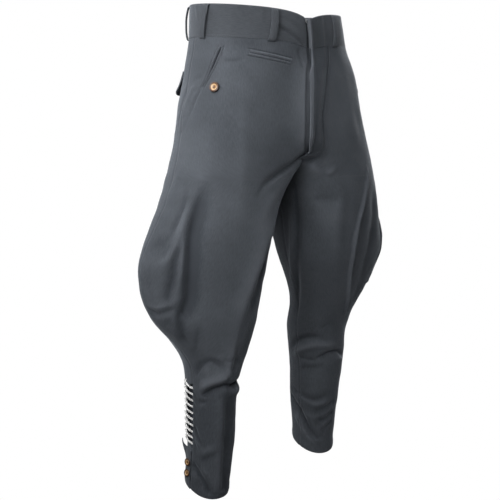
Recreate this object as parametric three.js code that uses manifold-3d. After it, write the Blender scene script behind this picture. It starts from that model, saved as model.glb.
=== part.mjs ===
// Wool jodhpurs in the shape they take when worn, held up at the waist.
// Millimetres, +Z up. The wearer faces -Y and the wearer's left is +X.
// Z = 0 is the belt line in the middle of the waistband, and the origin is the waist's centre there.
import * as THREE from 'three';
import Module from 'manifold-3d';
import { mergeVertices } from 'three/addons/utils/BufferGeometryUtils.js';

const RIGHT = -1;
const LEFT = 1;
const DEG = Math.PI / 180;

// Cloth, seams and clearances.
const CLOTH = 1.6;        // wall of the main wool twill
const THIN = 1.2;         // wall of facings, jets and flaps
const SEAM = 0.5;         // gap between two pieces at a seam
const ON_TOP = 0.6;       // gap under a piece that lies on a panel, whose facets bulge a little

// Heights along the garment, measured down from the belt line.
const RIM = 28;
const HEM = -860;

// One half of the garment, from the rim to the hem. Every row is one ring:
// centre and depth place it, outer, inner, front and back are its reach from there,
// the powers say how square each quarter is (2 is an ellipse) and seam is the
// angle of the outside seam. Angles go 0 inside, 90 front, 180 outside, 270 back.
const SECTION_COLUMNS = [
  'z', 'centre', 'depth', 'outer', 'inner', 'front', 'back',
  'frontPower', 'backPower', 'innerPower', 'seam',
];
const SECTIONS = [
  [28, 0, 0, 157, 157, 117, 119, 2.15, 2.15, 2.15, 190],
  [0, 0, 0, 160, 160, 120, 122, 2.15, 2.15, 2.15, 190],
  [-30, 0, 0, 163, 163, 119, 124, 2.2, 2.15, 2.2, 190],
  [-85, 10, 0, 168, 174, 116, 124, 2.5, 2.05, 2.3, 189],
  [-150, 25, 0, 170, 167, 113, 124, 2.7, 2.0, 2.6, 188],
  [-205, 50, 0, 156, 142, 112, 120, 2.7, 2.0, 3.0, 187],
  [-250, 74, 0, 145, 118, 110, 114, 2.6, 2.0, 2.9, 186],
  [-290, 92, 0, 142, 94, 108, 110, 2.4, 2.0, 2.4, 185],
  [-335, 106, 0, 146, 88, 104, 103, 2.2, 1.9, 2.1, 184],
  [-390, 116, 0, 164, 86, 100, 94, 1.95, 1.75, 2.0, 184],
  [-445, 120, 0, 180, 83, 94, 84, 1.8, 1.65, 2.0, 185],
  [-495, 122, 2, 169, 77, 86, 74, 1.75, 1.7, 2.0, 186],
  [-545, 124, 2, 134, 68, 76, 70, 1.9, 1.9, 2.0, 184],
  [-590, 126, 2, 84, 61, 67, 67, 2.0, 2.0, 2.0, 183],
  [-635, 127, 0, 52, 52, 60, 62, 2.1, 2.1, 2.1, 181],
  [-690, 128, -2, 47, 47, 52, 58, 2.1, 2.1, 2.1, 184],
  [-750, 128, -2, 43, 44, 47, 53, 2.1, 2.1, 2.1, 188],
  [-810, 128, -2, 40, 39, 42, 47, 2.1, 2.1, 2.1, 188],
  [-860, 128, -2, 38, 37, 41, 44, 2.1, 2.1, 2.1, 186],
];

// How the legs stand: the right foot is forward, the left one back. Out is away from the
// middle, back is +Y, and full makes that leg's rings larger or smaller.
const STANCE_COLUMNS = ['z', 'outRight', 'backRight', 'fullRight', 'outLeft', 'backLeft', 'fullLeft'];
const STANCE = [
  [28, -4, 0, 1, 4, 0, 1],
  [-30, -9, 0, 1, 9, 0, 1],
  [-60, -10, 0, 1, 10, 0, 1],
  [-150, -12, 0, 1, 12, 0, 1],
  [-205, -14, 0, 1, 14, 0, 1],
  [-250, -16, 0, 1, 16, 0, 1],
  [-300, -17, 0, 1, 17, 0, 1],
  [-360, -6, -9, 1.01, 18, 2, 1],
  [-445, 13, -24, 1.02, 25, 6, 0.97],
  [-505, 25, -35, 1.02, 35, 12, 0.87],
  [-555, 36, -46, 1.05, 43, 24, 0.82],
  [-605, 48, -58, 0.99, 50, 38, 0.93],
  [-655, 61, -66, 0.91, 57, 46, 1.04],
  [-750, 63, -67, 0.92, 47, 40, 1.03],
  [-860, 72, -66, 1, 34, 32, 1],
];

// The rim dips to the front, more sharply at the fly, and the waist tilts a little to the left.
const WAIST_SHAPE = { drop: 3, frontDip: 10, flyDip: 16, flyReach: 11.5, tilt: 5, fades: 178 };
// The hem is lowest at an angle near the front, and rises by twice this much behind.
const HEM_SHAPE = { rise: 19, begins: -740, lowestRight: 112, lowestLeft: 70, dropRight: 6, dropLeft: -1 };

// The lap of the left front over the right one, down the fly.
const FLY = { lap: 5, proud: 2.2, flat: 12, width: 38, lapEnds: -250, lapFull: -238, proudEnds: -264 };

// The laced opening behind the outside seam of each calf. The front panel's edge is the seam,
// the back panel's edge stands away from it by the gap, and eyelets are in the back panel only.
const LACING = {
  rows: 10, pitch: 11.6, top: -655, eyelet: 26.8, hole: 2.2, cord: 1.5,
  gap: 22, opens: -646, open: -654, closing: -770, closed: -780,
};

// Rings at which the panels have points, and points along each ring of a panel. The crotch
// has its own rings between these, close together where the legs part.
const RINGS_ABOVE_CROTCH = [
  -33.5, -47, -62, -90, -122, -156, -190, -214, -238, -250, -264, -280,
];
const RINGS_AT_CROTCH = [3.5, 1.2, 0.3, 0, -2.5];
const RINGS_BELOW_CROTCH = [
  -306, -325, -355, -388, -420, -453, -486, -518, -550, -580, -608, -630, -646, -654, -692, -731,
  -770, -780, -820, -860,
];
const FRONT_POINTS = 11;
const BACK_POINTS = 10;
const BAND_RINGS = [28, -2, -33];
const BAND_POINTS = 21;

const COLOURS = {
  wool: 0x53575c,
  woolDark: 0x393c40,
  facing: 0x2b2d30,
  button: 0xc9955e,
  lace: 0xe9e6dd,
  steel: 0x8f9398,
};

// ---- Curves through the tables ----

// A curve through the values that never swings past them; the heights go down the list.
function steadyCurve(heights, values) {
  const last = heights.length - 1;
  const steps = heights.slice(1).map((height, i) => heights[i] - height);
  const slopes = steps.map((step, i) => (values[i + 1] - values[i]) / step);
  const tangents = values.map((_, i) => {
    if (i === 0) return slopes[0];
    if (i === last) return slopes[last - 1];
    const [before, after] = [slopes[i - 1], slopes[i]];
    return before * after <= 0 ? 0 : 2 * before * after / (before + after);
  });
  return (height) => {
    let i = 0;
    while (i < last - 1 && height < heights[i + 1]) i += 1;
    const step = steps[i];
    const t = (heights[i] - height) / step;
    const start = (1 + 2 * t) * (1 - t) ** 2 * values[i] + t * (1 - t) ** 2 * step * tangents[i];
    const end = t * t * (3 - 2 * t) * values[i + 1] + t * t * (t - 1) * step * tangents[i + 1];
    return start + end;
  };
}

function curvesOf(columns, rows) {
  const heights = rows.map((row) => row[0]);
  const named = {};
  columns.forEach((name, i) => {
    named[name] = steadyCurve(heights, rows.map((row) => row[i]));
  });
  return named;
}

const section = curvesOf(SECTION_COLUMNS, SECTIONS);
const stance = curvesOf(STANCE_COLUMNS, STANCE);

// 0 at from, 1 at to, and smooth between.
function ease(from, to, value) {
  const t = THREE.MathUtils.clamp((value - from) / (to - from), 0, 1);
  return t * t * (3 - 2 * t);
}

// ---- The garment's surface ----

// The real height of a place whose ring is at z.
function level(side, angle, z, x) {
  const fromFront = Math.abs(angle - 90);
  const nearFront = ((1 + Math.cos(fromFront * DEG)) / 2) ** 1.5;
  const dip = WAIST_SHAPE.drop + WAIST_SHAPE.frontDip * nearFront
    + WAIST_SHAPE.flyDip * Math.exp(-fromFront / WAIST_SHAPE.flyReach)
    + WAIST_SHAPE.tilt * x / section.outer(0);
  const [lowest, drop] = side === RIGHT
    ? [HEM_SHAPE.lowestRight, HEM_SHAPE.dropRight]
    : [HEM_SHAPE.lowestLeft, HEM_SHAPE.dropLeft];
  const hem = HEM_SHAPE.rise * (1 - Math.cos((angle - lowest) * DEG)) - drop;
  return z
    - dip * ease(RIM - WAIST_SHAPE.fades, RIM, z)
    + hem * ease(HEM_SHAPE.begins, HEM, z);
}

function placeOn(side, angle, z) {
  const turn = angle * DEG;
  const [across, along] = [Math.cos(turn), Math.sin(turn)];
  const isInner = across > 0;
  const isFront = along > 0;
  const outerPower = isFront ? section.frontPower(z) : section.backPower(z);
  const power = isInner ? section.innerPower(z) : outerPower;
  const name = side === RIGHT ? 'Right' : 'Left';
  const full = stance[`full${name}`](z);
  const reachX = isInner ? -section.inner(z) : section.outer(z);
  const reachY = isFront ? -section.front(z) : section.back(z);
  const out = section.centre(z) + reachX * Math.abs(across) ** (2 / power) * full
    + stance[`out${name}`](z);
  const back = section.depth(z) + reachY * Math.abs(along) ** (2 / power) * full
    + stance[`back${name}`](z);
  return new THREE.Vector3(side * out, back, level(side, angle, z, side * out));
}

// A place with its outward normal and how many millimetres one degree and one unit of z are.
function spotOn(side, angle, z) {
  const [turn, rise] = [0.5, 1];
  const around = placeOn(side, angle + turn, z).sub(placeOn(side, angle - turn, z));
  const upward = placeOn(side, angle, z + rise).sub(placeOn(side, angle, z - rise));
  const normal = around.clone().cross(upward).multiplyScalar(side).normalize();
  return {
    side,
    angle,
    z,
    point: placeOn(side, angle, z),
    normal,
    perDegree: around.length() / (2 * turn),
    perRise: upward.length() / (2 * rise),
  };
}

// The spot that lies so many millimetres round the ring and up the leg from a place.
function spotBeside(side, angle, z, around, up) {
  const spot = spotOn(side, angle, z);
  return spotOn(side, angle + around / spot.perDegree, z + up / spot.perRise);
}

// The angle at which a ring meets the middle plane, where the halves are sewn together.
function middleAngle(z) {
  const share = (section.centre(z) - SEAM / 2) / section.inner(z);
  return Math.acos(THREE.MathUtils.clamp(share, 0, 1) ** (section.innerPower(z) / 2)) / DEG;
}

// The height at which the halves part into two legs.
function crotchHeight() {
  let [sewn, parted] = [-280, -320];
  while (sewn - parted > 1e-4) {
    const middle = (sewn + parted) / 2;
    if (middleAngle(middle) > 0) sewn = middle;
    else parted = middle;
  }
  return parted;
}

const CROTCH = crotchHeight();
const PANEL_RINGS = [
  ...RINGS_ABOVE_CROTCH,
  ...RINGS_AT_CROTCH.map((above) => CROTCH + above),
  ...RINGS_BELOW_CROTCH,
];

// How far the back panel's edge is from the outside seam at a height.
function laceGap(z) {
  const opening = ease(LACING.opens, LACING.open, z) * ease(LACING.closed, LACING.closing, z);
  return SEAM / 2 + LACING.gap * opening;
}

// Spots spaced evenly by length along a ring, with so many millimetres left off at each end.
function ringSpots(side, z, from, to, count, trimFrom, trimTo) {
  const pieces = 160;
  const angles = Array.from({ length: pieces + 1 }, (_, i) => from + (to - from) * i / pieces);
  const points = angles.map((angle) => placeOn(side, angle, z));
  const lengths = [0];
  for (let i = 1; i <= pieces; i += 1) {
    lengths.push(lengths[i - 1] + points[i].distanceTo(points[i - 1]));
  }
  const whole = lengths[pieces] - trimFrom - trimTo;
  return Array.from({ length: count }, (_, k) => {
    const target = trimFrom + whole * k / (count - 1);
    let i = 0;
    while (i < pieces - 1 && lengths[i + 1] < target) i += 1;
    const t = (target - lengths[i]) / (lengths[i + 1] - lengths[i]);
    return spotOn(side, angles[i] + (angles[i + 1] - angles[i]) * t, z);
  });
}

// ---- Solids from spots ----

// A closed mesh from points and triangles, turned so that its faces point out.
function closedGeometry(points, triangles) {
  let volume = 0;
  triangles.forEach(([a, b, c]) => {
    volume += points[a].dot(points[b].clone().cross(points[c]));
  });
  const facing = volume < 0 ? triangles.map(([a, b, c]) => [a, c, b]) : triangles;
  const geometry = new THREE.BufferGeometry();
  const numbers = points.flatMap((point) => point.toArray());
  geometry.setAttribute('position', new THREE.Float32BufferAttribute(numbers, 3));
  geometry.setIndex(facing.flat());
  geometry.computeVertexNormals();
  return geometry;
}

// A wall over a grid of spots, from low to high along their normals. A spot's own lift is added.
function wall(grid, low, high) {
  const rows = grid.length;
  const columns = grid[0].length;
  const layer = (distance) => grid.flatMap((row) => row.map((spot) => (
    spot.point.clone().addScaledVector(spot.normal, distance + (spot.lift ?? 0)))));
  const points = [...layer(high), ...layer(low)];
  const at = (i, j) => i * columns + j;
  const below = rows * columns;
  const triangles = [];
  for (let i = 0; i < rows - 1; i += 1) {
    for (let j = 0; j < columns - 1; j += 1) {
      const [a, b, c, d] = [at(i, j), at(i + 1, j), at(i + 1, j + 1), at(i, j + 1)];
      triangles.push([a, b, c], [a, c, d]);
      triangles.push([below + a, below + c, below + b], [below + a, below + d, below + c]);
    }
  }
  const border = [];
  for (let j = 0; j < columns - 1; j += 1) border.push(at(0, j));
  for (let i = 0; i < rows - 1; i += 1) border.push(at(i, columns - 1));
  for (let j = columns - 1; j > 0; j -= 1) border.push(at(rows - 1, j));
  for (let i = rows - 1; i > 0; i -= 1) border.push(at(i, 0));
  border.forEach((a, k) => {
    const b = border[(k + 1) % border.length];
    triangles.push([a, b, below + b], [a, below + b, below + a]);
  });
  return closedGeometry(points, triangles);
}

const wasm = await Module();
wasm.setup();

function toSolid(geometry) {
  const plain = geometry.clone();
  plain.deleteAttribute('normal');
  plain.deleteAttribute('uv');
  const merged = mergeVertices(plain, 1e-4);
  return new wasm.Manifold(new wasm.Mesh({
    numProp: 3,
    vertProperties: new Float32Array(merged.attributes.position.array),
    triVerts: new Uint32Array(merged.index.array),
  }));
}

function toGeometry(solid) {
  const mesh = solid.getMesh();
  const geometry = new THREE.BufferGeometry();
  geometry.setAttribute('position', new THREE.Float32BufferAttribute(mesh.vertProperties, 3));
  geometry.setIndex(Array.from(mesh.triVerts));
  geometry.computeVertexNormals();
  return geometry;
}

function cutAway(geometry, cutters) {
  const left = cutters.reduce((solid, cutter) => solid.subtract(toSolid(cutter)), toSolid(geometry));
  return toGeometry(left);
}

// ---- Panels ----

// How far the left front stands proud over the fly, at a distance from the middle.
function flyLift(z, distance) {
  const across = 1 - ease(FLY.flat, FLY.width, distance);
  return FLY.proud * across * ease(FLY.proudEnds, FLY.lapEnds, z);
}

// The two spots by which the left side laps over the right one, on a ring.
function lapSpots(z) {
  const angle = middleAngle(z);
  const reach = FLY.lap * ease(FLY.lapEnds, FLY.lapFull, z);
  const ownSide = ringSpots(LEFT, z, angle, angle + 30, 2, 0, 0)[0];
  const otherSide = spotOn(RIGHT, angle, z);
  const middle = {
    ...ownSide,
    point: ownSide.point.clone().add(otherSide.point).multiplyScalar(0.5),
    normal: ownSide.normal.clone().add(otherSide.normal).normalize(),
    lift: flyLift(z, 0),
  };
  const edge = { ...spotBeside(RIGHT, angle, z, reach, 0), lift: flyLift(z, 0) };
  return [edge, middle];
}

// The left edge of a ring, with the fly's lap above its end and a plain edge below it.
function leftFrontSpots(z, to, count, trimTo) {
  const angle = middleAngle(z);
  if (z <= FLY.lapEnds) {
    const spots = ringSpots(LEFT, z, angle, to, count, angle > 0 ? 0 : SEAM / 2, trimTo);
    return liftFly(z, spots);
  }
  const own = ringSpots(LEFT, z, angle, to, count - 1, 0, trimTo).slice(1);
  return [...lapSpots(z), ...liftFly(z, own)];
}

function liftFly(z, spots) {
  const start = placeOn(LEFT, middleAngle(z), z);
  return spots.map((spot) => ({ ...spot, lift: flyLift(z, spot.point.distanceTo(start)) }));
}

function frontPanel(side) {
  const grid = PANEL_RINGS.map((z) => {
    const angle = middleAngle(z);
    const trimMiddle = angle > 0 ? 0 : SEAM / 2;
    if (side === LEFT) return leftFrontSpots(z, section.seam(z), FRONT_POINTS + 1, SEAM / 2);
    return ringSpots(side, z, angle, section.seam(z), FRONT_POINTS, trimMiddle, SEAM / 2);
  });
  return cutAway(wall(grid, -CLOTH, 0), [pocketSlot(side)]);
}

function backPanel(side) {
  const grid = PANEL_RINGS.map((z) => {
    const angle = middleAngle(z);
    const trimMiddle = angle > 0 ? 0 : SEAM / 2;
    return ringSpots(side, z, section.seam(z), 360 - angle, BACK_POINTS, laceGap(z), trimMiddle);
  });
  return cutAway(wall(grid, -CLOTH, 0), eyeletCutters(side));
}

function waistband(side) {
  const grid = BAND_RINGS.map((z) => {
    const angle = middleAngle(z);
    const end = 360 - angle;
    if (side === LEFT) return leftFrontSpots(z, end, BAND_POINTS, SEAM / 2);
    return ringSpots(side, z, angle, end, BAND_POINTS, SEAM / 2, SEAM / 2);
  });
  return wall(grid, -CLOTH, 0);
}

// ---- Pieces that lie on the panels ----

// A grid of spots along a route on the surface. The route gives an angle and a height for
// 0 to 1, and the widths are millimetres to each side of it.
function stripSpots(side, route, rows, widths) {
  return Array.from({ length: rows }, (_, i) => {
    const t = i / (rows - 1);
    const here = route(t);
    const nearby = route(t + (t < 0.5 ? 0.01 : -0.01));
    const spot = spotOn(side, here.angle, here.z);
    const ahead = placeOn(side, nearby.angle, nearby.z).sub(spot.point).multiplyScalar(t < 0.5 ? 1 : -1);
    const across = ahead.clone().cross(spot.normal).normalize().multiplyScalar(side);
    const nextDegree = placeOn(side, here.angle + 1, here.z).sub(spot.point).normalize();
    const nextRise = placeOn(side, here.angle, here.z + 1).sub(spot.point).normalize();
    return widths.map((width) => spotBeside(
      side,
      here.angle,
      here.z,
      width * across.dot(nextDegree),
      width * across.dot(nextRise),
    ));
  });
}

// The slanted mouth of a front pocket, from its top to its foot.
const POCKET = {
  top: { angle: 159.2, z: -51.5 }, foot: { angle: 172.1, z: -126 }, bow: 1.2,
  slot: 1.1, facing: 13, inside: 1.8, margin: 0.09, button: { angle: 159, z: -127 },
};

function pocketRoute(t) {
  const bow = POCKET.bow * Math.sin(Math.PI * t);
  return {
    angle: THREE.MathUtils.lerp(POCKET.top.angle, POCKET.foot.angle, t) - bow,
    z: THREE.MathUtils.lerp(POCKET.top.z, POCKET.foot.z, t),
  };
}

function pocketSlot(side) {
  const deep = 4;
  const grid = stripSpots(side, pocketRoute, 7, [-POCKET.slot, POCKET.slot]);
  return wall(grid, -deep, deep);
}

function pocketFacing(side) {
  const longer = (t) => pocketRoute(THREE.MathUtils.lerp(-POCKET.margin, 1 + POCKET.margin, t));
  const widths = [-POCKET.facing, 0, POCKET.facing];
  const grid = stripSpots(side, longer, 7, widths);
  return wall(grid, -CLOTH - POCKET.inside - THIN, -CLOTH - POCKET.inside);
}

// The small jetted watch pocket on the right front: two narrow strips with a slit between.
const WATCH = { from: { angle: 134.2, z: -58 }, to: { angle: 101, z: -70 }, jet: 4.4, slit: 0.8 };

function watchRoute(t) {
  return {
    angle: THREE.MathUtils.lerp(WATCH.from.angle, WATCH.to.angle, t),
    z: THREE.MathUtils.lerp(WATCH.from.z, WATCH.to.z, t),
  };
}

function watchJet(direction) {
  const near = direction * WATCH.slit / 2;
  const far = direction * (WATCH.slit / 2 + WATCH.jet);
  return wall(stripSpots(RIGHT, watchRoute, 8, [near, far]), ON_TOP, ON_TOP + THIN);
}

// The hip pocket's flap on the right back, fast along its top and standing off below.
const FLAP = { from: 204, to: 247, top: -96, height: 38, point: 7, rows: 6, columns: 9, stands: 7 };

function hipFlap() {
  const grid = Array.from({ length: FLAP.rows }, (_, i) => {
    const down = i / (FLAP.rows - 1);
    return Array.from({ length: FLAP.columns }, (_, j) => {
      const along = j / (FLAP.columns - 1);
      const angle = THREE.MathUtils.lerp(FLAP.from, FLAP.to, along);
      const height = FLAP.height + FLAP.point * Math.sin(Math.PI * along);
      const lift = FLAP.stands * down ** 1.5 * (1 - 0.55 * along);
      return { ...spotOn(RIGHT, angle, FLAP.top - height * down), lift };
    });
  });
  return wall(grid, ON_TOP, ON_TOP + CLOTH);
}

// Belt loops. Each has the angle of its top and of its foot.
const BELT_LOOP = { width: 13, top: 27, foot: -37, stands: 6.8, columns: 2, rows: 10, wall: 1.5 };
const BELT_LOOPS = {
  front: { right: [117, 120], left: [114, 110] },
  side: { right: [174.5, 178], left: [177, 178] },
  back: { right: [221, 221], left: [221, 221] },
};

function beltLoop(side, [topAngle, footAngle]) {
  const half = BELT_LOOP.width / 2;
  const grid = Array.from({ length: BELT_LOOP.rows }, (_, i) => {
    const t = i / (BELT_LOOP.rows - 1);
    const z = THREE.MathUtils.lerp(BELT_LOOP.top, BELT_LOOP.foot, t);
    const lift = BELT_LOOP.stands * Math.sin(Math.PI * t) ** 0.4;
    return Array.from({ length: BELT_LOOP.columns }, (_, j) => {
      const across = THREE.MathUtils.lerp(-half, half, j / (BELT_LOOP.columns - 1));
      const angle = THREE.MathUtils.lerp(topAngle, footAngle, t);
      return { ...spotBeside(side, angle, z, across, 0), lift };
    });
  });
  return wall(grid, ON_TOP, ON_TOP + BELT_LOOP.wall);
}

// ---- Calf opening: underlay, placket, eyelets and lace ----

// A spot beside the outside seam: around is toward the back, up is along the leg.
function spotAtSeam(side, z, around) {
  return spotBeside(side, section.seam(z), z, around, 0);
}

function eyeletHeight(row) {
  return LACING.top - LACING.pitch * row;
}

const HOLE_SIDES = 6;

function eyeletCutters(side) {
  const deep = 4;
  return Array.from({ length: LACING.rows }, (_, row) => {
    const spot = spotAtSeam(side, eyeletHeight(row), LACING.eyelet);
    const cutter = new THREE.CylinderGeometry(LACING.hole, LACING.hole, 2 * deep, HOLE_SIDES);
    cutter.applyQuaternion(new THREE.Quaternion().setFromUnitVectors(
      new THREE.Vector3(0, 1, 0),
      spot.normal,
    ));
    return cutter.translate(...spot.point.toArray());
  });
}

// The cloth under the lacing. Its back edge is against the back panel, beside the eyelets, and
// it sinks away from the opening to its front edge, which the lace goes round.
const UNDERLAY = {
  front: -6.5, back: 23.8, under: 3.1, sinks: 3, flat: 19, columns: 5,
  rings: [-628, -638, -651, -680, -712, -744, -776, -790, -800],
};

function calfUnderlay(side) {
  const { rings } = UNDERLAY;
  const grid = rings.map((z) => {
    const open = ease(rings[1], rings[2], z) * ease(rings[7], rings[6], z);
    return Array.from({ length: UNDERLAY.columns }, (_, j) => {
      const around = THREE.MathUtils.lerp(UNDERLAY.front, UNDERLAY.back, j / (UNDERLAY.columns - 1));
      const sunk = open * (1 - ease(0.4 * UNDERLAY.flat, UNDERLAY.flat, around));
      return { ...spotAtSeam(side, z, around), lift: -UNDERLAY.sinks * sunk };
    });
  });
  const outer = -CLOTH - UNDERLAY.under;
  return wall(grid, outer - THIN, outer);
}

// The button stand below the lacing, on the back panel. Its top rises to a corner at the
// back, and this corner stands off the leg.
const PLACKET = {
  front: 1, back: 36, top: -785, peak: 16, rows: 5, columns: 7, corner: 8, above: 1,
  buttons: [{ z: -812, around: 8.4 }, { z: -834, around: 8.4 }],
};

function calfPlacket(side) {
  const grid = Array.from({ length: PLACKET.rows }, (_, i) => {
    const down = i / (PLACKET.rows - 1);
    return Array.from({ length: PLACKET.columns }, (_, j) => {
      const along = j / (PLACKET.columns - 1);
      const around = THREE.MathUtils.lerp(PLACKET.front, PLACKET.back, along);
      const top = PLACKET.top + PLACKET.peak * along ** 6;
      const lift = PLACKET.corner * ease(0.6, 1, along) * ease(0.5, 0, down);
      return { ...spotAtSeam(side, THREE.MathUtils.lerp(top, HEM, down), around), lift };
    });
  });
  return wall(grid, PLACKET.above, PLACKET.above + THIN);
}

// A point of the lace: at a height, beside the seam, above (+) or below (-) the cloth.
function lacePoint(side, z, around, above) {
  const spot = spotAtSeam(side, z, around);
  return spot.point.clone().addScaledVector(spot.normal, above);
}

// Spiral lacing. Each turn comes out of an eyelet in the back panel and runs over the opening
// and down, under the front panel's edge, round the underlay and behind it to the next eyelet.
// The columns are: millimetres below the eyelet, round from the seam, and above the cloth.
const LACE_TURN = [
  [0, 26.8, -8],
  [0, 26.8, 0.6],
  [1.2, 24.2, 2.6],
  [8, 13.5, 1.6],
  [13.2, 2.8, -3.4],
  [15, -9.6, -5],
  [15, -9.6, -11.2],
  [12.5, 20, -11.2],
];

function laceRoute(side) {
  const points = [];
  for (let row = 0; row < LACING.rows; row += 1) {
    LACE_TURN.forEach(([down, round, over]) => {
      points.push(lacePoint(side, eyeletHeight(row) - down, round, over));
    });
  }
  return points;
}

// A curve whose steps fall on its own points, so that every turn of the lace has one.
class SteppedCurve extends THREE.CatmullRomCurve3 {
  getUtoTmapping(u) {
    return u;
  }
}

const CORD_SIDES = 8;

function roundShape(radius, sides) {
  const corners = Array.from({ length: sides }, (_, i) => {
    const turn = 2 * Math.PI * i / sides;
    return new THREE.Vector2(radius * Math.cos(turn), radius * Math.sin(turn));
  });
  return new THREE.Shape(corners);
}

function cordAlong(points, radius) {
  return new THREE.ExtrudeGeometry(roundShape(radius, CORD_SIDES), {
    steps: points.length - 1,
    extrudePath: new SteppedCurve(points),
    bevelEnabled: false,
  });
}

// ---- Buttons and the waist hook ----

const BUTTON_SEGMENTS = 12;

function buttonGeometry(radius) {
  const profile = [[0, 0], [0.62, 0], [0.9, 0.1], [1, 0.22], [0.97, 0.34], [0.84, 0.4], [0.62, 0.32], [0, 0.3]];
  const points = profile.map(([r, h]) => new THREE.Vector2(r * radius, h * radius));
  return new THREE.LatheGeometry(points, BUTTON_SEGMENTS);
}

const HOOK = { z: 21, wire: 0.6, wide: 6.5, reach: 5.5, above: 1.1 };

// A wire loop that comes out from under the lap at the top of the fly.
function waistHook() {
  const { z, wire, wide, reach, above } = HOOK;
  const start = FLY.lap + SEAM + wire;
  const route = [[start, -wide / 2], [start + reach - 1.4, -wide / 2], [start + reach, -wide / 4],
    [start + reach, wide / 4], [start + reach - 1.4, wide / 2], [start, wide / 2]];
  return cordAlong(route.map(([around, up]) => {
    const spot = spotBeside(RIGHT, middleAngle(z), z, around, up);
    return spot.point.clone().addScaledVector(spot.normal, above);
  }), wire);
}

// The bar on the right side of the band that the hook's loop lies round.
function waistBar() {
  const { z, wire, reach, above } = HOOK;
  const around = FLY.lap + SEAM + reach - 2;
  const half = HOOK.wide / 2 - 3 * wire - SEAM;
  const heights = [-half, -half / 2, half / 2, half];
  return cordAlong(heights.map((up) => {
    const spot = spotBeside(RIGHT, middleAngle(z), z, around, up);
    return spot.point.clone().addScaledVector(spot.normal, above);
  }), wire);
}

// ---- The object ----

const garment = new THREE.Group();

function material(colour, roughness, metalness = 0) {
  return new THREE.MeshStandardMaterial({ color: colour, roughness, metalness });
}

const wool = material(COLOURS.wool, 0.92);
const woolDark = material(COLOURS.woolDark, 0.94);
const facingCloth = material(COLOURS.facing, 0.95);
const buttonStuff = material(COLOURS.button, 0.45);
const laceStuff = material(COLOURS.lace, 0.85);
const steel = material(COLOURS.steel, 0.35, 1);

function add(name, geometry, look) {
  const mesh = new THREE.Mesh(geometry, look);
  mesh.name = name;
  garment.add(mesh);
  return mesh;
}

// A button over a spot, clear of the flat facet of the piece that it is sewn to.
function addButton(name, spot, radius, seat) {
  const above = 20;
  const start = spot.point.clone().addScaledVector(spot.normal, above);
  const ray = new THREE.Raycaster(start, spot.normal.clone().negate());
  const [hit] = ray.intersectObject(seat);
  const mesh = add(name, buttonGeometry(radius), buttonStuff);
  mesh.position.copy(hit.point).addScaledVector(spot.normal, SEAM);
  mesh.quaternion.setFromUnitVectors(new THREE.Vector3(0, 1, 0), spot.normal);
}

const POCKET_BUTTON = 9.6;
const CALF_BUTTON = 7.2;

[[RIGHT, 'right'], [LEFT, 'left']].forEach(([side, word]) => {
  const front = add(`front_${word}`, frontPanel(side), wool);
  add(`back_${word}`, backPanel(side), wool);
  add(`waistband_${word}`, waistband(side), wool);
  Object.entries(BELT_LOOPS).forEach(([place, angles]) => {
    add(`belt_loop_${place}_${word}`, beltLoop(side, angles[word]), wool);
  });
  add(`pocket_facing_${word}`, pocketFacing(side), woolDark);
  const { angle, z } = POCKET.button;
  addButton(`pocket_button_${word}`, spotOn(side, angle, z), POCKET_BUTTON, front);
  add(`calf_underlay_${word}`, calfUnderlay(side), facingCloth);
  const placket = add(`calf_placket_${word}`, calfPlacket(side), wool);
  PLACKET.buttons.forEach((place, i) => {
    const spot = spotAtSeam(side, place.z, place.around);
    addButton(`calf_button_${i + 1}_${word}`, spot, CALF_BUTTON, placket);
  });
  add(`lace_${word}`, cordAlong(laceRoute(side), LACING.cord), laceStuff);
});
add('watch_jet_upper', watchJet(-1), wool);
add('watch_jet_lower', watchJet(1), wool);
add('hip_flap', hipFlap(), wool);
add('waist_hook', waistHook(), steel);
add('waist_bar', waistBar(), steel);

export default garment;
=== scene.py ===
# %% [markdown]
# # Wool jodhpurs
# Riding breeches of the officer's cut, in the shape that they take when worn. They are wide at
# the thigh and close at the knee, and each calf has a laced opening over a button stand. The
# imported CAD model comes in first as a fixed frame. Most pieces made here hide one of its
# solids and take its place, and every piece is measured in the same frame: metres, +Z up, the
# wearer facing -Y.

# %% Load the frame
import math

import bpy
import numpy as np
from mathutils import Matrix, Vector


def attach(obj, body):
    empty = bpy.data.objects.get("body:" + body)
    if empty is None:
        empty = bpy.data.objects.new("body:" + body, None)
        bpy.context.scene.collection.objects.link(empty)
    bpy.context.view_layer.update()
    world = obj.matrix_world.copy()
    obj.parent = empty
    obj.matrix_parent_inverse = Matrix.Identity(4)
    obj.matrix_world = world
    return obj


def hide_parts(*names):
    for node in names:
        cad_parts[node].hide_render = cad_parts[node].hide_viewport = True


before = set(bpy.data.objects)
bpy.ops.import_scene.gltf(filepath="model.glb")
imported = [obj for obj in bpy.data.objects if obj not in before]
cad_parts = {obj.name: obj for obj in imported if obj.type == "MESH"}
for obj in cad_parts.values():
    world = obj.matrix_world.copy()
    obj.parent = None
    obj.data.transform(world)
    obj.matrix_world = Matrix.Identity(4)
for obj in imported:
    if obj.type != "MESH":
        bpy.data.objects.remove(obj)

MM = 0.001
scene = bpy.context.scene
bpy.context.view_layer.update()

# %% [markdown]
# ## Camera, light and floor
# A garment this tall is best seen from well back with a long lens, so that its legs don't
# taper away. The camera stands off the wearer's right front, a little above the knee's middle.
# Wool is dark and soaks up light, so every lamp is large. One hangs above, two stand at the
# left and model the hip and thigh, and a weak high one opens the front. Two more behind draw
# the edges of both legs.


# %% Camera
def add_object(name, data):
    thing = bpy.data.objects.new(name, data)
    scene.collection.objects.link(thing)
    return thing


def aim(thing, target):
    """Turn a camera or a light so that it looks at a point."""
    thing.rotation_euler = (Vector(target) - thing.location).to_track_quat("-Z", "Y").to_euler()


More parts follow.
